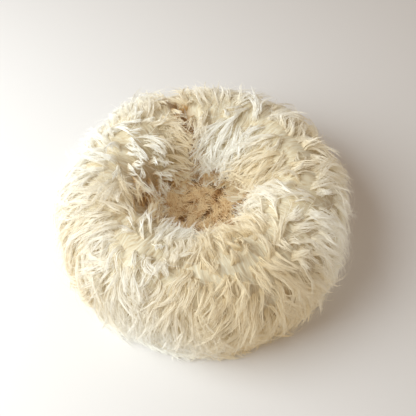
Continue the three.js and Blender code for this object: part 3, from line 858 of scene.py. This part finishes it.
def wool_material(name, root, middle, tip, stained):
    """Strands of wool, each with its own place along the lock, tone and stain. A faint painted glow of their
    own colour stands for the light that the fleece scatters inside, and lightens the shade between strands."""
    made, nodes, shader = material(name, Roughness=0.8, Sheen_Weight=0.2, Sheen_Roughness=0.5,
                                   Specular_IOR_Level=0.2, Emission_Strength=0.14)
    kept = nodes.add("ShaderNodeAttribute", attribute_name="wool", attribute_type="GEOMETRY")
    parts = nodes.add("ShaderNodeSeparateXYZ", {0: kept.outputs["Vector"]}).outputs
    given = {"Along": parts[0], "Tone": parts[1], "Stain": parts[2], "Stain strength": 0.8,
             "Root": root, "Middle": middle, "Tip": tip, "Stained": stained}
    colour = nodes.add("ShaderNodeGroup", given, node_tree=wool_group())
    nodes.feed(shader, "Base Color", colour.outputs[0])
    # Painted glow: the wool's own colour, a little warmed, given off as light.
    painted_glow = nodes.blend(1.0, colour.outputs[0], srgb(250, 248, 240), "MULTIPLY")
    nodes.feed(shader, "Emission Color", painted_glow)
    return made


def undercoat_material():
    """Matted wool next to the hide, streaked the way it is combed: cream on its ridges, amber between them
    and brown where roots show, which also stands as painted shade in the crease and low in the nest."""
    made, nodes, shader = material("Undercoat wool", Roughness=0.95, Sheen_Weight=0.2,
                                   Specular_IOR_Level=0.15)
    kept = nodes.add("ShaderNodeAttribute", attribute_name="coat", attribute_type="GEOMETRY")
    parts = nodes.add("ShaderNodeSeparateXYZ", {0: kept.outputs["Vector"]}).outputs
    flat = nodes.add("ShaderNodeCombineXYZ", {0: parts[0], 1: parts[1]}).outputs[0]
    streaks = nodes.noise(flat, 1.0, 4.0, 0.6)
    place = nodes.place()
    broad = nodes.noise(place, 30.0, 3.0)
    colour = nodes.ramp(streaks, [(0.30, srgb(196, 168, 124)), (0.5, srgb(220, 206, 174)),
                                  (0.7, srgb(236, 230, 208))])
    colour = nodes.blend(nodes.math("MULTIPLY", broad, 0.5), colour, srgb(230, 220, 192))
    # Root brown, from the third coat value: roots that show, and painted shade.
    brown = nodes.ramp(streaks, [(0.30, srgb(142, 100, 56)), (0.7, srgb(198, 158, 108))])
    colour = nodes.blend(parts[2], colour, brown)
    nodes.feed(shader, "Base Color", colour)
    nodes.relief(shader, streaks, 0.7, 0.002)
    return made


def hide_material():
    """Suede side of the hide, with a fine grain."""
    made, nodes, shader = material("Suede hide", Roughness=0.9, Sheen_Weight=0.3, Specular_IOR_Level=0.2)
    place = nodes.place()
    grain = nodes.noise(place, 900.0, 5.0)
    broad = nodes.noise(place, 25.0, 3.0)
    colour = nodes.ramp(broad, [(0.3, srgb(206, 186, 152)), (0.7, srgb(226, 211, 182))])
    colour = nodes.blend(nodes.math("MULTIPLY", grain, 0.25), colour, srgb(150, 122, 88))
    nodes.feed(shader, "Base Color", colour)
    nodes.relief(shader, grain, 0.3, 0.0004)
    return made


def weave_group():
    """Plain weave: bumps where the threads cross, with the two sets of threads in their own colours and slubs
    along them."""
    if "Plain weave" in bpy.data.node_groups:
        return bpy.data.node_groups["Plain weave"]
    group, nodes = new_group(
        "Plain weave",
        [("Vector", "Vector", (0, 0, 0)), ("Threads", "Float", 1500.0), ("Warp", "Color", (1, 1, 1, 1)),
         ("Weft", "Color", (1, 1, 1, 1)), ("Gap", "Color", (1, 1, 1, 1))],
        [("Color", "Color"), ("Height", "Float")],
    )
    given = nodes.add("NodeGroupInput").outputs
    scaled = nodes.add("ShaderNodeVectorMath", {0: given["Vector"]}, operation="SCALE")
    nodes.tree.links.new(given["Threads"], scaled.inputs["Scale"])
    parts = nodes.add("ShaderNodeSeparateXYZ", {0: scaled.outputs[0]}).outputs
    slub = nodes.noise(scaled.outputs[0], 0.11, 2.0)
    waves_of = [nodes.math("ABSOLUTE", nodes.math("SINE", nodes.math("MULTIPLY", part, math.pi)))
                for part in parts[:2]]
    height = nodes.math("MULTIPLY", waves_of[0], waves_of[1])
    height = nodes.math("MULTIPLY", height, nodes.math("ADD", slub, 0.5))
    colour = nodes.blend(waves_of[0], given["Warp"], given["Weft"])
    colour = nodes.blend(nodes.math("POWER", height, 0.5, True), given["Gap"], colour)
    nodes.add("NodeGroupOutput", {"Color": colour, "Height": height})
    return group


def cloth_material(name, threads, warp, weft, gap, bump, relief):
    """Woven cloth on object coordinates, a little uneven in colour. Some of the height is added to both
    thread directions, so that the weave also runs up the sides."""
    made, nodes, shader = material(name, Roughness=0.88, Sheen_Weight=0.25, Specular_IOR_Level=0.2)
    place = nodes.place()
    x, y, z = nodes.add("ShaderNodeSeparateXYZ", {0: place}).outputs
    along, across = (nodes.math("ADD", part, nodes.math("MULTIPLY", z, lean))
                     for part, lean in ((x, 0.8), (y, -0.6)))
    laid = nodes.add("ShaderNodeCombineXYZ", {0: along, 1: across}).outputs[0]
    given = {"Vector": laid, "Threads": threads, "Warp": warp, "Weft": weft, "Gap": gap}
    weave = nodes.add("ShaderNodeGroup", given, node_tree=weave_group())
    broad = nodes.noise(place, 26.0, 4.0)
    shade = nodes.ramp(broad, [(0.3, srgb(226, 222, 216)), (0.7, srgb(255, 255, 255))])
    nodes.feed(shader, "Base Color", nodes.blend(1.0, weave.outputs[0], shade, "MULTIPLY"))
    nodes.relief(shader, weave.outputs[1], bump, relief)
    return made


def fibre_material(name, light, dark, scale):
    """Loose fibre fill: fine tangled noise in two close tones."""
    made, nodes, shader = material(name, Roughness=0.95, Sheen_Weight=0.4, Specular_IOR_Level=0.15)
    place = nodes.place()
    tangle = nodes.noise(place, scale, 6.0, 1.5)
    nodes.feed(shader, "Base Color", nodes.ramp(tangle, [(0.3, dark), (0.65, light)]))
    nodes.relief(shader, tangle, 0.6, 0.0015)
    return made


def moulded_material():
    """Moulded zip teeth: cream plastic, slightly mottled in colour and gloss."""
    made, nodes, shader = material("Moulded teeth", Specular_IOR_Level=0.45)
    place = nodes.place()
    mottle = nodes.noise(place, 420.0, 3.0)
    colour = nodes.ramp(mottle, [(0.3, srgb(196, 184, 156)), (0.7, srgb(222, 212, 188))])
    nodes.feed(shader, "Base Color", colour)
    nodes.feed(shader, "Roughness", nodes.spread(mottle, 0.36, 0.56))
    return made


def brass_material():
    """Brushed brass of the slider, pull and stops: scratches along the zip, and lighter, duller patches."""
    made, nodes, shader = material("Zip brass", Metallic=1.0)
    place = nodes.place()
    along = nodes.add("ShaderNodeMapping", {"Vector": place, "Scale": (180.0, 2600.0, 2600.0)}).outputs[0]
    scratches = nodes.noise(along, 1.0, 4.0)
    patches = nodes.noise(place, 300.0, 3.0)
    colour = nodes.ramp(patches, [(0.3, srgb(146, 112, 62)), (0.6, srgb(196, 160, 98)),
                                  (0.8, srgb(214, 184, 126))])
    nodes.feed(shader, "Base Color", colour)
    nodes.feed(shader, "Roughness", nodes.spread(patches, 0.26, 0.48))
    nodes.relief(shader, scratches, 0.25, 0.0001)
    return made


def thread_material(name, light, dark):
    """Sewing thread, with its twist as fine slanting bands."""
    made, nodes, shader = material(name, Roughness=0.6, Sheen_Weight=0.2)
    place = nodes.place()
    twist = nodes.add("ShaderNodeTexWave", {"Vector": place, "Scale": 900.0, "Distortion": 1.0},
                      bands_direction="DIAGONAL").outputs[1]
    nodes.feed(shader, "Base Color", nodes.ramp(twist, [(0.2, dark), (0.7, light)]))
    return made


# ---------------------------------------------------------------------------------------------------
# Settings
# ---------------------------------------------------------------------------------------------------

class NestWool(bpy.types.PropertyGroup):
    spacing: FloatProperty(name="Lock spacing", description="Distance between locks of wool at the hide",
                           default=0.0143, unit="LENGTH")
    wisps: IntProperty(name="Wisps", description="Wisps in each lock", default=5)
    strands: IntProperty(name="Strands", description="Strands in each wisp", default=7)
    width: FloatProperty(name="Strand radius", description="Half the thickness of a strand", default=0.00044,
                         unit="LENGTH")
    root: FloatVectorProperty(name="Root", description="Colour of the wool at the hide", subtype="COLOR",
                              size=4, default=srgb(200, 168, 120), min=0, max=1)
    middle: FloatVectorProperty(name="Middle", description="Colour halfway along a lock", subtype="COLOR",
                                size=4, default=srgb(232, 226, 209), min=0, max=1)
    tip: FloatVectorProperty(name="Tip", description="Colour at the tips", subtype="COLOR",
                             size=4, default=srgb(243, 242, 236), min=0, max=1)


class NestStage(bpy.types.PropertyGroup):
    distance: FloatProperty(name="Camera distance", description="From the camera to the bed", default=0.95,
                            unit="LENGTH")
    elevation: FloatProperty(name="Camera elevation", description="Above the horizon",
                             default=math.radians(55.5), subtype="ANGLE")
    key: FloatProperty(name="Key light", description="Power of the large light on the left", default=32.0,
                       unit="POWER")
    fill: FloatProperty(name="Sky", description="Strength of the light from all round", default=0.36)


# ---------------------------------------------------------------------------------------------------
# Operators
# ---------------------------------------------------------------------------------------------------

def undercoat_piece(name, index, w0, w1):
    """The hide of one length of fleece with its matted undercoat: a closed section of (w, h), with h wavering
    over the undercoat and 0 on the hide, carried round from one end seam to the next and closed at the ends.
    Ridges as wide as a wisp run across the ring, the way the wool is combed."""
    front, back, columns = 72, 14, 190
    gap, edge = 0.0001 / HOLLOW_RADIUS, 0.0003  # kept free along the end seams (radians) and long seams (w)
    angle = np.linspace(SEAM_ANGLES[index] + gap, SEAM_ANGLES[index] + TURN - gap, columns)
    w = np.concatenate([np.linspace(w0 + edge, w1 - edge, front), np.linspace(w1 - edge, w0 + edge, back)])
    round_foot = np.minimum(1, (1.03 - np.abs(w[:front])) / 0.12) ** 0.5
    height = np.concatenate([round_foot, np.zeros(back)])
    w, angle = np.meshgrid(w, angle, indexing="ij")
    drift = angle + 0.05 * waves(83, angle, w, 8, 9, 5.0)
    ripple = np.interp(w, [0.7, 0.9], [0.68, 0.58]) * wool_height(angle, w)
    ripple = ripple + 0.03 * waves(81, angle, w, 24, 40, 16.0)
    ripple = ripple + 0.008 * waves(82, drift, w, 24, 150, 9.0)
    shown = np.arange(front + back)[:, None] < front
    h = np.where(shown, np.maximum(ripple, 0.1) * height[:, None], 0.015)
    points = ring_point(w, angle, h)
    points[..., 2] = np.maximum(points[..., 2], 1.2 * MM)
    rows = front + back
    quads = grid_quads(rows, columns, close_rows=True)
    ends = np.array([0, columns - 1])
    middle = points[:, ends].mean(0)
    vertices = np.concatenate([points.reshape(-1, 3), middle])
    i = np.arange(rows)
    i2 = (i + 1) % rows
    right, total = columns - 1, rows * columns
    first = np.stack([i * columns, i2 * columns, np.full(rows, total)], 1)
    last = np.stack([i2 * columns + right, i * columns + right, np.full(rows, total + 1)], 1)
    loops = np.concatenate([quads.ravel(), first.ravel(), last.ravel()])
    thing = mesh_object(name, vertices, loops, np.concatenate([np.full(len(quads), 4), np.full(2 * rows, 3)]))
    slots = np.concatenate([(quads // columns).max(1) >= front, np.zeros(2 * rows, bool)]).astype(np.int32)
    thing.data.polygons.foreach_set("material_index", slots)
    sway = 0.9 * np.sin(16 * w + 3 * waves(84, angle, w, 8, 12, 6.0))
    # The third coat value is the root brown that is partly painted shade.
    coat = np.stack([drift * CREST_RADIUS / 0.003 + sway, w * 0.12 / 0.011, roots_and_painted_shade(angle, w)], -1)
    coat = np.concatenate([coat.reshape(-1, 3), coat[:, ends].mean(0)])
    thing.data.set_sharp_from_angle(angle=math.radians(50))
    point_values(thing, "coat", coat)
    return thing


def shared(name, make):
    """The material of that name, made the first time."""
    return bpy.data.materials.get(name) or make()


def recolour(node, look):
    """Gives a frame part that stays in the picture its finished material."""
    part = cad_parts[node]
    part.data.materials.clear()
    part.data.materials.append(look)


class NEST_OT_hides(bpy.types.Operator):
    """Makes the hides of the six lengths of fleece with their matted undercoat"""
    bl_idname = "nest.hides"
    bl_label = "Hides and undercoat"

    def execute(self, context):
        for index, panel in enumerate(PANELS):
            for side, w0, w1 in (("outer", 0.0, 1.0), ("inner", -1.0, 0.0)):
                piece = undercoat_piece(f"{side}_undercoat_{panel}", index, w0, w1)
                finish_piece(piece, "wool", [f"{side}_fleece_{panel}"], "bed",
                             shared("Undercoat wool", undercoat_material),
                             shared("Suede hide", hide_material))
        return {"FINISHED"}


class NEST_OT_wool(bpy.types.Operator):
    """Grows the long wool of the outer and inner fleeces"""
    bl_idname = "nest.wool"
    bl_label = "Long wool"

    def execute(self, context):
        wool = context.scene.nest_wool
        look = wool_material("Long wool", tuple(wool.root), tuple(wool.middle), tuple(wool.tip),
                             srgb(238, 220, 182))
        bands = (("outer", "crest", 0.0, 0.56), ("outer", "hem", 0.56, 1.0), ("inner", "wall", -1.0, 0.0))
        for index, panel in enumerate(PANELS):
            for number, (side, band, w0, w1) in enumerate(bands):
                draw = np.random.default_rng(1000 + 10 * index + number)
                w, angle = scattered(draw, w0, w1, wool.spacing, SEAM_ANGLES[index], TURN)
                piece = wool_piece(f"{side}_wool_{panel}_{band}", draw, w, angle, wool.wisps, wool.strands,
                                   wool.width, LOCK_FOOT * wool.spacing)
                finish_piece(piece, "wool", [f"{side}_fleece_{panel}"], "bed", look)
        return {"FINISHED"}


class NEST_OT_floor(bpy.types.Operator):
    """Makes the round floor fleece: its hide and its short curly wool"""
    bl_idname = "nest.floor"
    bl_label = "Nest floor"

    def execute(self, context):
        draw = np.random.default_rng(2000)
        # The floor wool is browner than the walls' wool: partly its own colour, partly painted shade at the
        # bottom of the nest.
        look = wool_material("Floor wool", srgb(146, 106, 60), srgb(196, 158, 108), srgb(234, 216, 180),
                             srgb(255, 250, 240))
        piece = floor_wool_piece("floor_wool", draw)
        finish_piece(piece, "floor_wool", ["floor_fleece"], "bed", look)

        # The hide is flat below. Above, it is crowned by 12 mm * cos(1.2 u) over the nest, with u from 0 in
        # the middle to 1 at the rim, and it ripples.
        rows, columns = 40, 120
        u = np.linspace(0, 1, rows)
        radius = np.concatenate([[0.0005], np.linspace(0.004, HIDE_INNER - 0.001, rows - 1)])
        rim = np.concatenate([radius, radius[::-1]])
        top = INNER_FOOT - 0.0022 + np.where(radius < HOLLOW_RADIUS, 0.0120 * np.cos(u * 1.2), 0.0)
        z = np.concatenate([np.full(rows, FLOOR_LOW[2] + 0.0002), top[::-1]])
        angle = np.linspace(0, TAU, columns, endpoint=False)
        ripple = 0.001 * waves(91, angle[None], 40 * rim[:, None], 12, 30, 3.0)
        ripple = ripple * (rim[:, None] < HOLLOW_RADIUS)
        ripple[:rows] = 0
        points = polar(rim[:, None], z[:, None] + ripple, angle)
        piece = ring_piece("floor_hide", points)
        coat = points.reshape(-1, 3) / 0.003
        # The floor's undercoat is mostly root brown: partly its own colour, partly painted shade under the
        # floor wool.
        coat[:, 2] = 0.85
        point_values(piece, "coat", coat)
        coat_look = shared("Undercoat wool", undercoat_material)
        finish_piece(piece, "floor_wool", ["floor_fleece"], "bed", coat_look)
        return {"FINISHED"}


class NEST_OT_inserts(bpy.types.Operator):
    """Makes the stuffed bolster and the floor pad: calico liners with seams and laced slits, and filling"""
    bl_idname = "nest.inserts"
    bl_label = "Bolster and floor pad"

    def execute(self, context):
        draw = np.random.default_rng(3000)
        calico = cloth_material("Calico", 1700.0, srgb(232, 224, 204), srgb(224, 214, 190),
                                srgb(176, 162, 134), 0.5, 0.0002)
        filling = fibre_material("Filling", srgb(246, 244, 238), srgb(216, 212, 202), 700.0)
        thread = thread_material("Calico thread", srgb(236, 228, 208), srgb(188, 174, 144))
        angle = np.linspace(0, TAU, 240, endpoint=False)
        gap = slit_gap(angle, SLIT_LENGTH / 2 / CREST_RADIUS)[None]
        outer = bolster_surface(CLEAR, 72, angle, gap, BOLSTER_SEAMS)
        inner = bolster_surface(CLEAR + LINER, 72, angle, gap, BOLSTER_SEAMS)
        points = np.concatenate([polar(*outer, angle), polar(*inner, angle)[::-1]])
        liner = ring_piece("bolster_calico", points)
        finish_piece(liner, "calico", ["bolster_liner"], "bed", calico)
        angle_fill = np.linspace(0, TAU, 200, endpoint=False)
        shut = np.zeros((1, len(angle_fill)))
        radius, z = bolster_surface(FILLING, 60, angle_fill, shut, BOLSTER_SEAMS)
        stuffing = ring_piece("bolster_filling", polar(radius, z, angle_fill)[:-1])
        finish_piece(stuffing, "stuffing", ["bolster_stuffing"], "bed", filling)

        gap = slit_gap(angle, SLIT_LENGTH / 2 / PAD_HIGH[0])[None]
        for side, top in (("upper", True), ("lower", False)):
            insets = (CLEAR + LINER, CLEAR) if top else (CLEAR, CLEAR + LINER)
            first, last = [polar(*pad_surface(inset, 32, angle, gap, top), angle) for inset in insets]
            cloth = ring_piece(f"floor_pad_{side}_cloth", np.concatenate([first, last[::-1]]), poles=True)
            finish_piece(cloth, "calico", ["floor_pad_liner"], "bed", calico)
        low, high = [pad_surface(FILLING, 24, angle_fill, shut, top) for top in (False, True)]
        points = np.concatenate([polar(*low, angle_fill), polar(*high, angle_fill)[-2::-1]])
        fill = ring_piece("floor_pad_filling", points, poles=True)
        finish_piece(fill, "stuffing", ["floor_pad_stuffing"], "bed", filling)

        under_bolster = (CREST_RADIUS, CREST_RADIUS, 3.0 * MM, BOLSTER_LOW[2] + 0.0007, False)
        round_pad = (PAD_HIGH[0], PAD_HIGH[0] - 0.0012, 3.2 * MM, (PAD_LOW[2] + PAD_HIGH[2]) / 2, True)
        for name, where in (("bolster_lacing", under_bolster), ("floor_pad_lacing", round_pad)):
            lace = thread_piece(name, lacing(draw, *where), LACE_RADIUS)
            finish_piece(lace, "calico", [], "bed", thread)
        return {"FINISHED"}


class NEST_OT_base(bpy.types.Operator):
    """Makes the base: canvas, wadding, the binding round its seam and the stitching"""
    bl_idname = "nest.base"
    bl_label = "Base"

    def execute(self, context):
        canvas = cloth_material("Base canvas", 900.0, srgb(190, 170, 134), srgb(178, 158, 122),
                                srgb(120, 102, 74), 0.7, 0.0004)
        tape = cloth_material("Binding tape", 1200.0, srgb(160, 138, 104), srgb(148, 126, 92),
                              srgb(100, 82, 58), 0.7, 0.0003)
        batt = fibre_material("Wadding", srgb(240, 238, 232), srgb(206, 202, 192), 450.0)
        thread = thread_material("Base thread", srgb(226, 212, 180), srgb(160, 140, 104))
        for side in ("front", "back"):
            recolour(f"base_canvas_{side}", canvas)

            # Wadding: the frame's solid in even faces, thinned about its middle height by soft waves.
            source = bpy.data.objects.new(f"wadding_{side}_source", merged_copy(f"base_wadding_{side}"))
            context.scene.collection.objects.link(source)
            remesh = source.modifiers.new("Even faces", "REMESH")
            remesh.mode, remesh.voxel_size = "VOXEL", 3.0 * MM
            made = source.evaluated_get(context.evaluated_depsgraph_get())
            mesh = bpy.data.meshes.new_from_object(made)
            bpy.data.objects.remove(source)
            place = np.empty(len(mesh.vertices) * 3, np.float32)
            mesh.vertices.foreach_get("co", place)
            place = place.reshape(-1, 3)
            low, high = node_size(f"base_wadding_{side}")
            middle = (low[2] + high[2]) / 2
            angle, reach = np.arctan2(place[:, 1], place[:, 0]), np.hypot(place[:, 0], place[:, 1])
            loft = 1 - 0.05 * (1 + waves(121, angle, 60 * reach, 20, 30, 4.0))
            place[:, 2] = middle + (place[:, 2] - middle) * np.clip(loft, 0.78, 1.0)
            mesh.vertices.foreach_set("co", place.ravel())
            mesh.polygons.foreach_set("use_smooth", np.ones(len(mesh.polygons), bool))
            thing = bpy.data.objects.new(f"wadding_{side}", mesh)
            context.scene.collection.objects.link(thing)
            finish_piece(thing, "stuffing", [f"base_wadding_{side}"], "bed", batt)

        # Binding: a section that is flat inside and a half ellipse outside, with 180 small puckers round it.
        low, high = node_size("base_binding")
        inner, outer = node_size("base_canvas_back")[1][0] + 0.0004, high[0]
        angle = np.linspace(0, TAU, 360, endpoint=False)
        bend = np.linspace(-math.pi / 2, math.pi / 2, 13)
        half = (high[2] - low[2]) / 2
        face = np.stack([outer - 0.0012 + 0.0012 * np.cos(bend), low[2] + half + half * np.sin(bend)], 1)
        section = np.concatenate([[(inner, low[2])], face, [(inner, high[2])]])
        section = evenly(np.concatenate([section, section[:1]]), 41)[:-1]
        pucker = 0.12 * MM * np.sin(180 * angle)[None] * (section[:, :1] > inner + 0.0012)
        binding = ring_piece("binding_tape", polar(section[:, :1] - np.abs(pucker), section[:, 1:], angle))
        finish_piece(binding, "binding", ["base_binding"], "bed", tape)

        # Stitching: one line inside the binding, and one round the zip.
        ring = polar(inner - 0.0036, STITCH_HEIGHT, angle)[0]
        end, wide = node_size("zip_tape_back")[1][0] - 0.0015, 13.0 * MM
        around = [(x * end, y * wide, STITCH_HEIGHT) for x, y in ((-1, -1), (1, -1), (1, 1), (-1, 1))]
        lines = np.concatenate([stitches_along(ring), stitches_along(around)])
        stitching = thread_piece("base_stitching", lines, STITCH_RADIUS)
        finish_piece(stitching, "binding", [], "bed", thread)
        return {"FINISHED"}


class NEST_OT_zip(bpy.types.Operator):
    """Makes the zip: tapes, moulded teeth, stops, slider and pull"""
    bl_idname = "nest.zip"
    bl_label = "Zip"

    def execute(self, context):
        woven = cloth_material("Zip tape", 2000.0, srgb(208, 194, 164), srgb(198, 184, 152),
                               srgb(150, 134, 102), 0.6, 0.0002)
        plastic, brass = moulded_material(), brass_material()
        for side, sign, phase in (("front", -1, 0.25), ("back", 1, -0.25)):
            recolour(f"zip_tape_{side}", woven)
            row = tooth_row(f"teeth_{side}", sign, phase)
            finish_piece(row, "zip_teeth", [f"zip_teeth_{side}"], "bed", plastic)
            low, high = node_size(f"zip_teeth_{side}")
            edge = sign * (max(abs(low[1]), abs(high[1])) - 0.6 * MM)
            x = np.linspace(low[0] + 0.3 * MM, high[0] - 0.3 * MM, 60)
            line = np.stack([x, 0 * x + edge, 0 * x + (low[2] + high[2]) / 2], 1)
            cord = thread_piece(f"teeth_cord_{side}", line[None], 0.6 * MM)
            finish_piece(cord, "zip_teeth", [f"zip_teeth_{side}"], "bed", plastic)
        for node, body, width in (("zip_top_stop_front", "bed", 0.3), ("zip_top_stop_back", "bed", 0.3),
                                  ("zip_bottom_stop", "bed", 0.4), ("zip_slider", "slider", 0.22),
                                  ("zip_pull", "pull", 0.25)):
            piece = bevelled_copy(node, node.replace("zip_", "brass_"), width * MM)
            finish_piece(piece, "zip_metal", [node], body, brass)
        return {"FINISHED"}


FLOOR_HALF = 4.0  # half the width of the stage's floor
KEY_PLACE, KEY_AIM = Vector((-1.15, -0.20, 1.05)), Vector((0, 0, 0.05))
LOOK_AT = Vector((0.0078, 0.0, 0.0635))
SENSOR = 36  # width of the camera's sensor in mm
VIEW_WIDTH = 0.67314  # width of the view where the camera looks at the bed


class NEST_OT_stage(bpy.types.Operator):
    """Sets the pale floor, the soft light from the left and the camera"""
    bl_idname = "nest.stage"
    bl_label = "Stage, light and camera"

    def execute(self, context):
        stage = context.scene.nest_stage
        corners = [(x * FLOOR_HALF, y * FLOOR_HALF, 0) for x, y in ((-1, -1), (1, -1), (1, 1), (-1, 1))]
        ground = quad_object("stage_floor", corners, [(0, 1, 2, 3)], False)
        pale = material("Pale floor", Base_Color=srgb(236, 233, 230), Roughness=0.85, Specular_IOR_Level=0.1)
        ground.data.materials.append(pale[0])

        lamp = bpy.data.lights.new("key_light", "AREA")
        lamp.size, lamp.energy, lamp.color = 1.3, stage.key, (0.88, 0.96, 1.0)
        light = bpy.data.objects.new("key_light", lamp)
        light.location = KEY_PLACE
        light.rotation_euler = (KEY_AIM - KEY_PLACE).to_track_quat("-Z", "Y").to_euler()
        context.scene.collection.objects.link(light)
        world = bpy.data.worlds.new("Studio")
        world.use_nodes = True
        world.node_tree.nodes["Background"].inputs["Color"].default_value = (1.0, 0.83, 0.69, 1)
        world.node_tree.nodes["Background"].inputs["Strength"].default_value = stage.fill
        context.scene.world = world

        towards = Vector((0, -math.cos(stage.elevation), math.sin(stage.elevation)))
        camera = bpy.data.objects.new("camera", bpy.data.cameras.new("camera"))
        camera.data.sensor_width = SENSOR
        camera.data.lens = SENSOR * stage.distance / VIEW_WIDTH
        camera.location = LOOK_AT + towards * stage.distance
        camera.rotation_euler = (-towards).to_track_quat("-Z", "Y").to_euler()
        context.scene.collection.objects.link(camera)
        context.scene.camera = camera
        context.scene.view_settings.view_transform = "Standard"
        return {"FINISHED"}


class NEST_PT_panel(bpy.types.Panel):
    """Lists the steps and settings of the nest bed"""
    bl_label = "Nest Bed"
    bl_idname = "NEST_PT_panel"
    bl_space_type = "VIEW_3D"
    bl_region_type = "UI"
    bl_category = "Nest Bed"

    def draw(self, context):
        for settings in (context.scene.nest_wool, context.scene.nest_stage):
            for key in settings.__annotations__:
                self.layout.prop(settings, key)
        for operator in OPERATORS:
            self.layout.operator(operator.bl_idname)


OPERATORS = (NEST_OT_hides, NEST_OT_wool, NEST_OT_floor, NEST_OT_inserts, NEST_OT_base, NEST_OT_zip,
             NEST_OT_stage)
CLASSES = (NestWool, NestStage, *OPERATORS, NEST_PT_panel)


def register():
    """Adds the classes and settings to Blender."""
    for cls in CLASSES:
        bpy.utils.register_class(cls)
    bpy.types.Scene.nest_wool = PointerProperty(type=NestWool)
    bpy.types.Scene.nest_stage = PointerProperty(type=NestStage)


def unregister():
    """Takes them away again."""
    del bpy.types.Scene.nest_wool, bpy.types.Scene.nest_stage
    for cls in reversed(CLASSES):
        bpy.utils.unregister_class(cls)


def main():
    """Makes every piece."""
    register()
    bpy.ops.nest.hides()
    bpy.ops.nest.wool()
    bpy.ops.nest.floor()
    bpy.ops.nest.inserts()
    bpy.ops.nest.base()
    bpy.ops.nest.zip()
    bpy.ops.nest.stage()


if __name__ == "__main__":
    main()
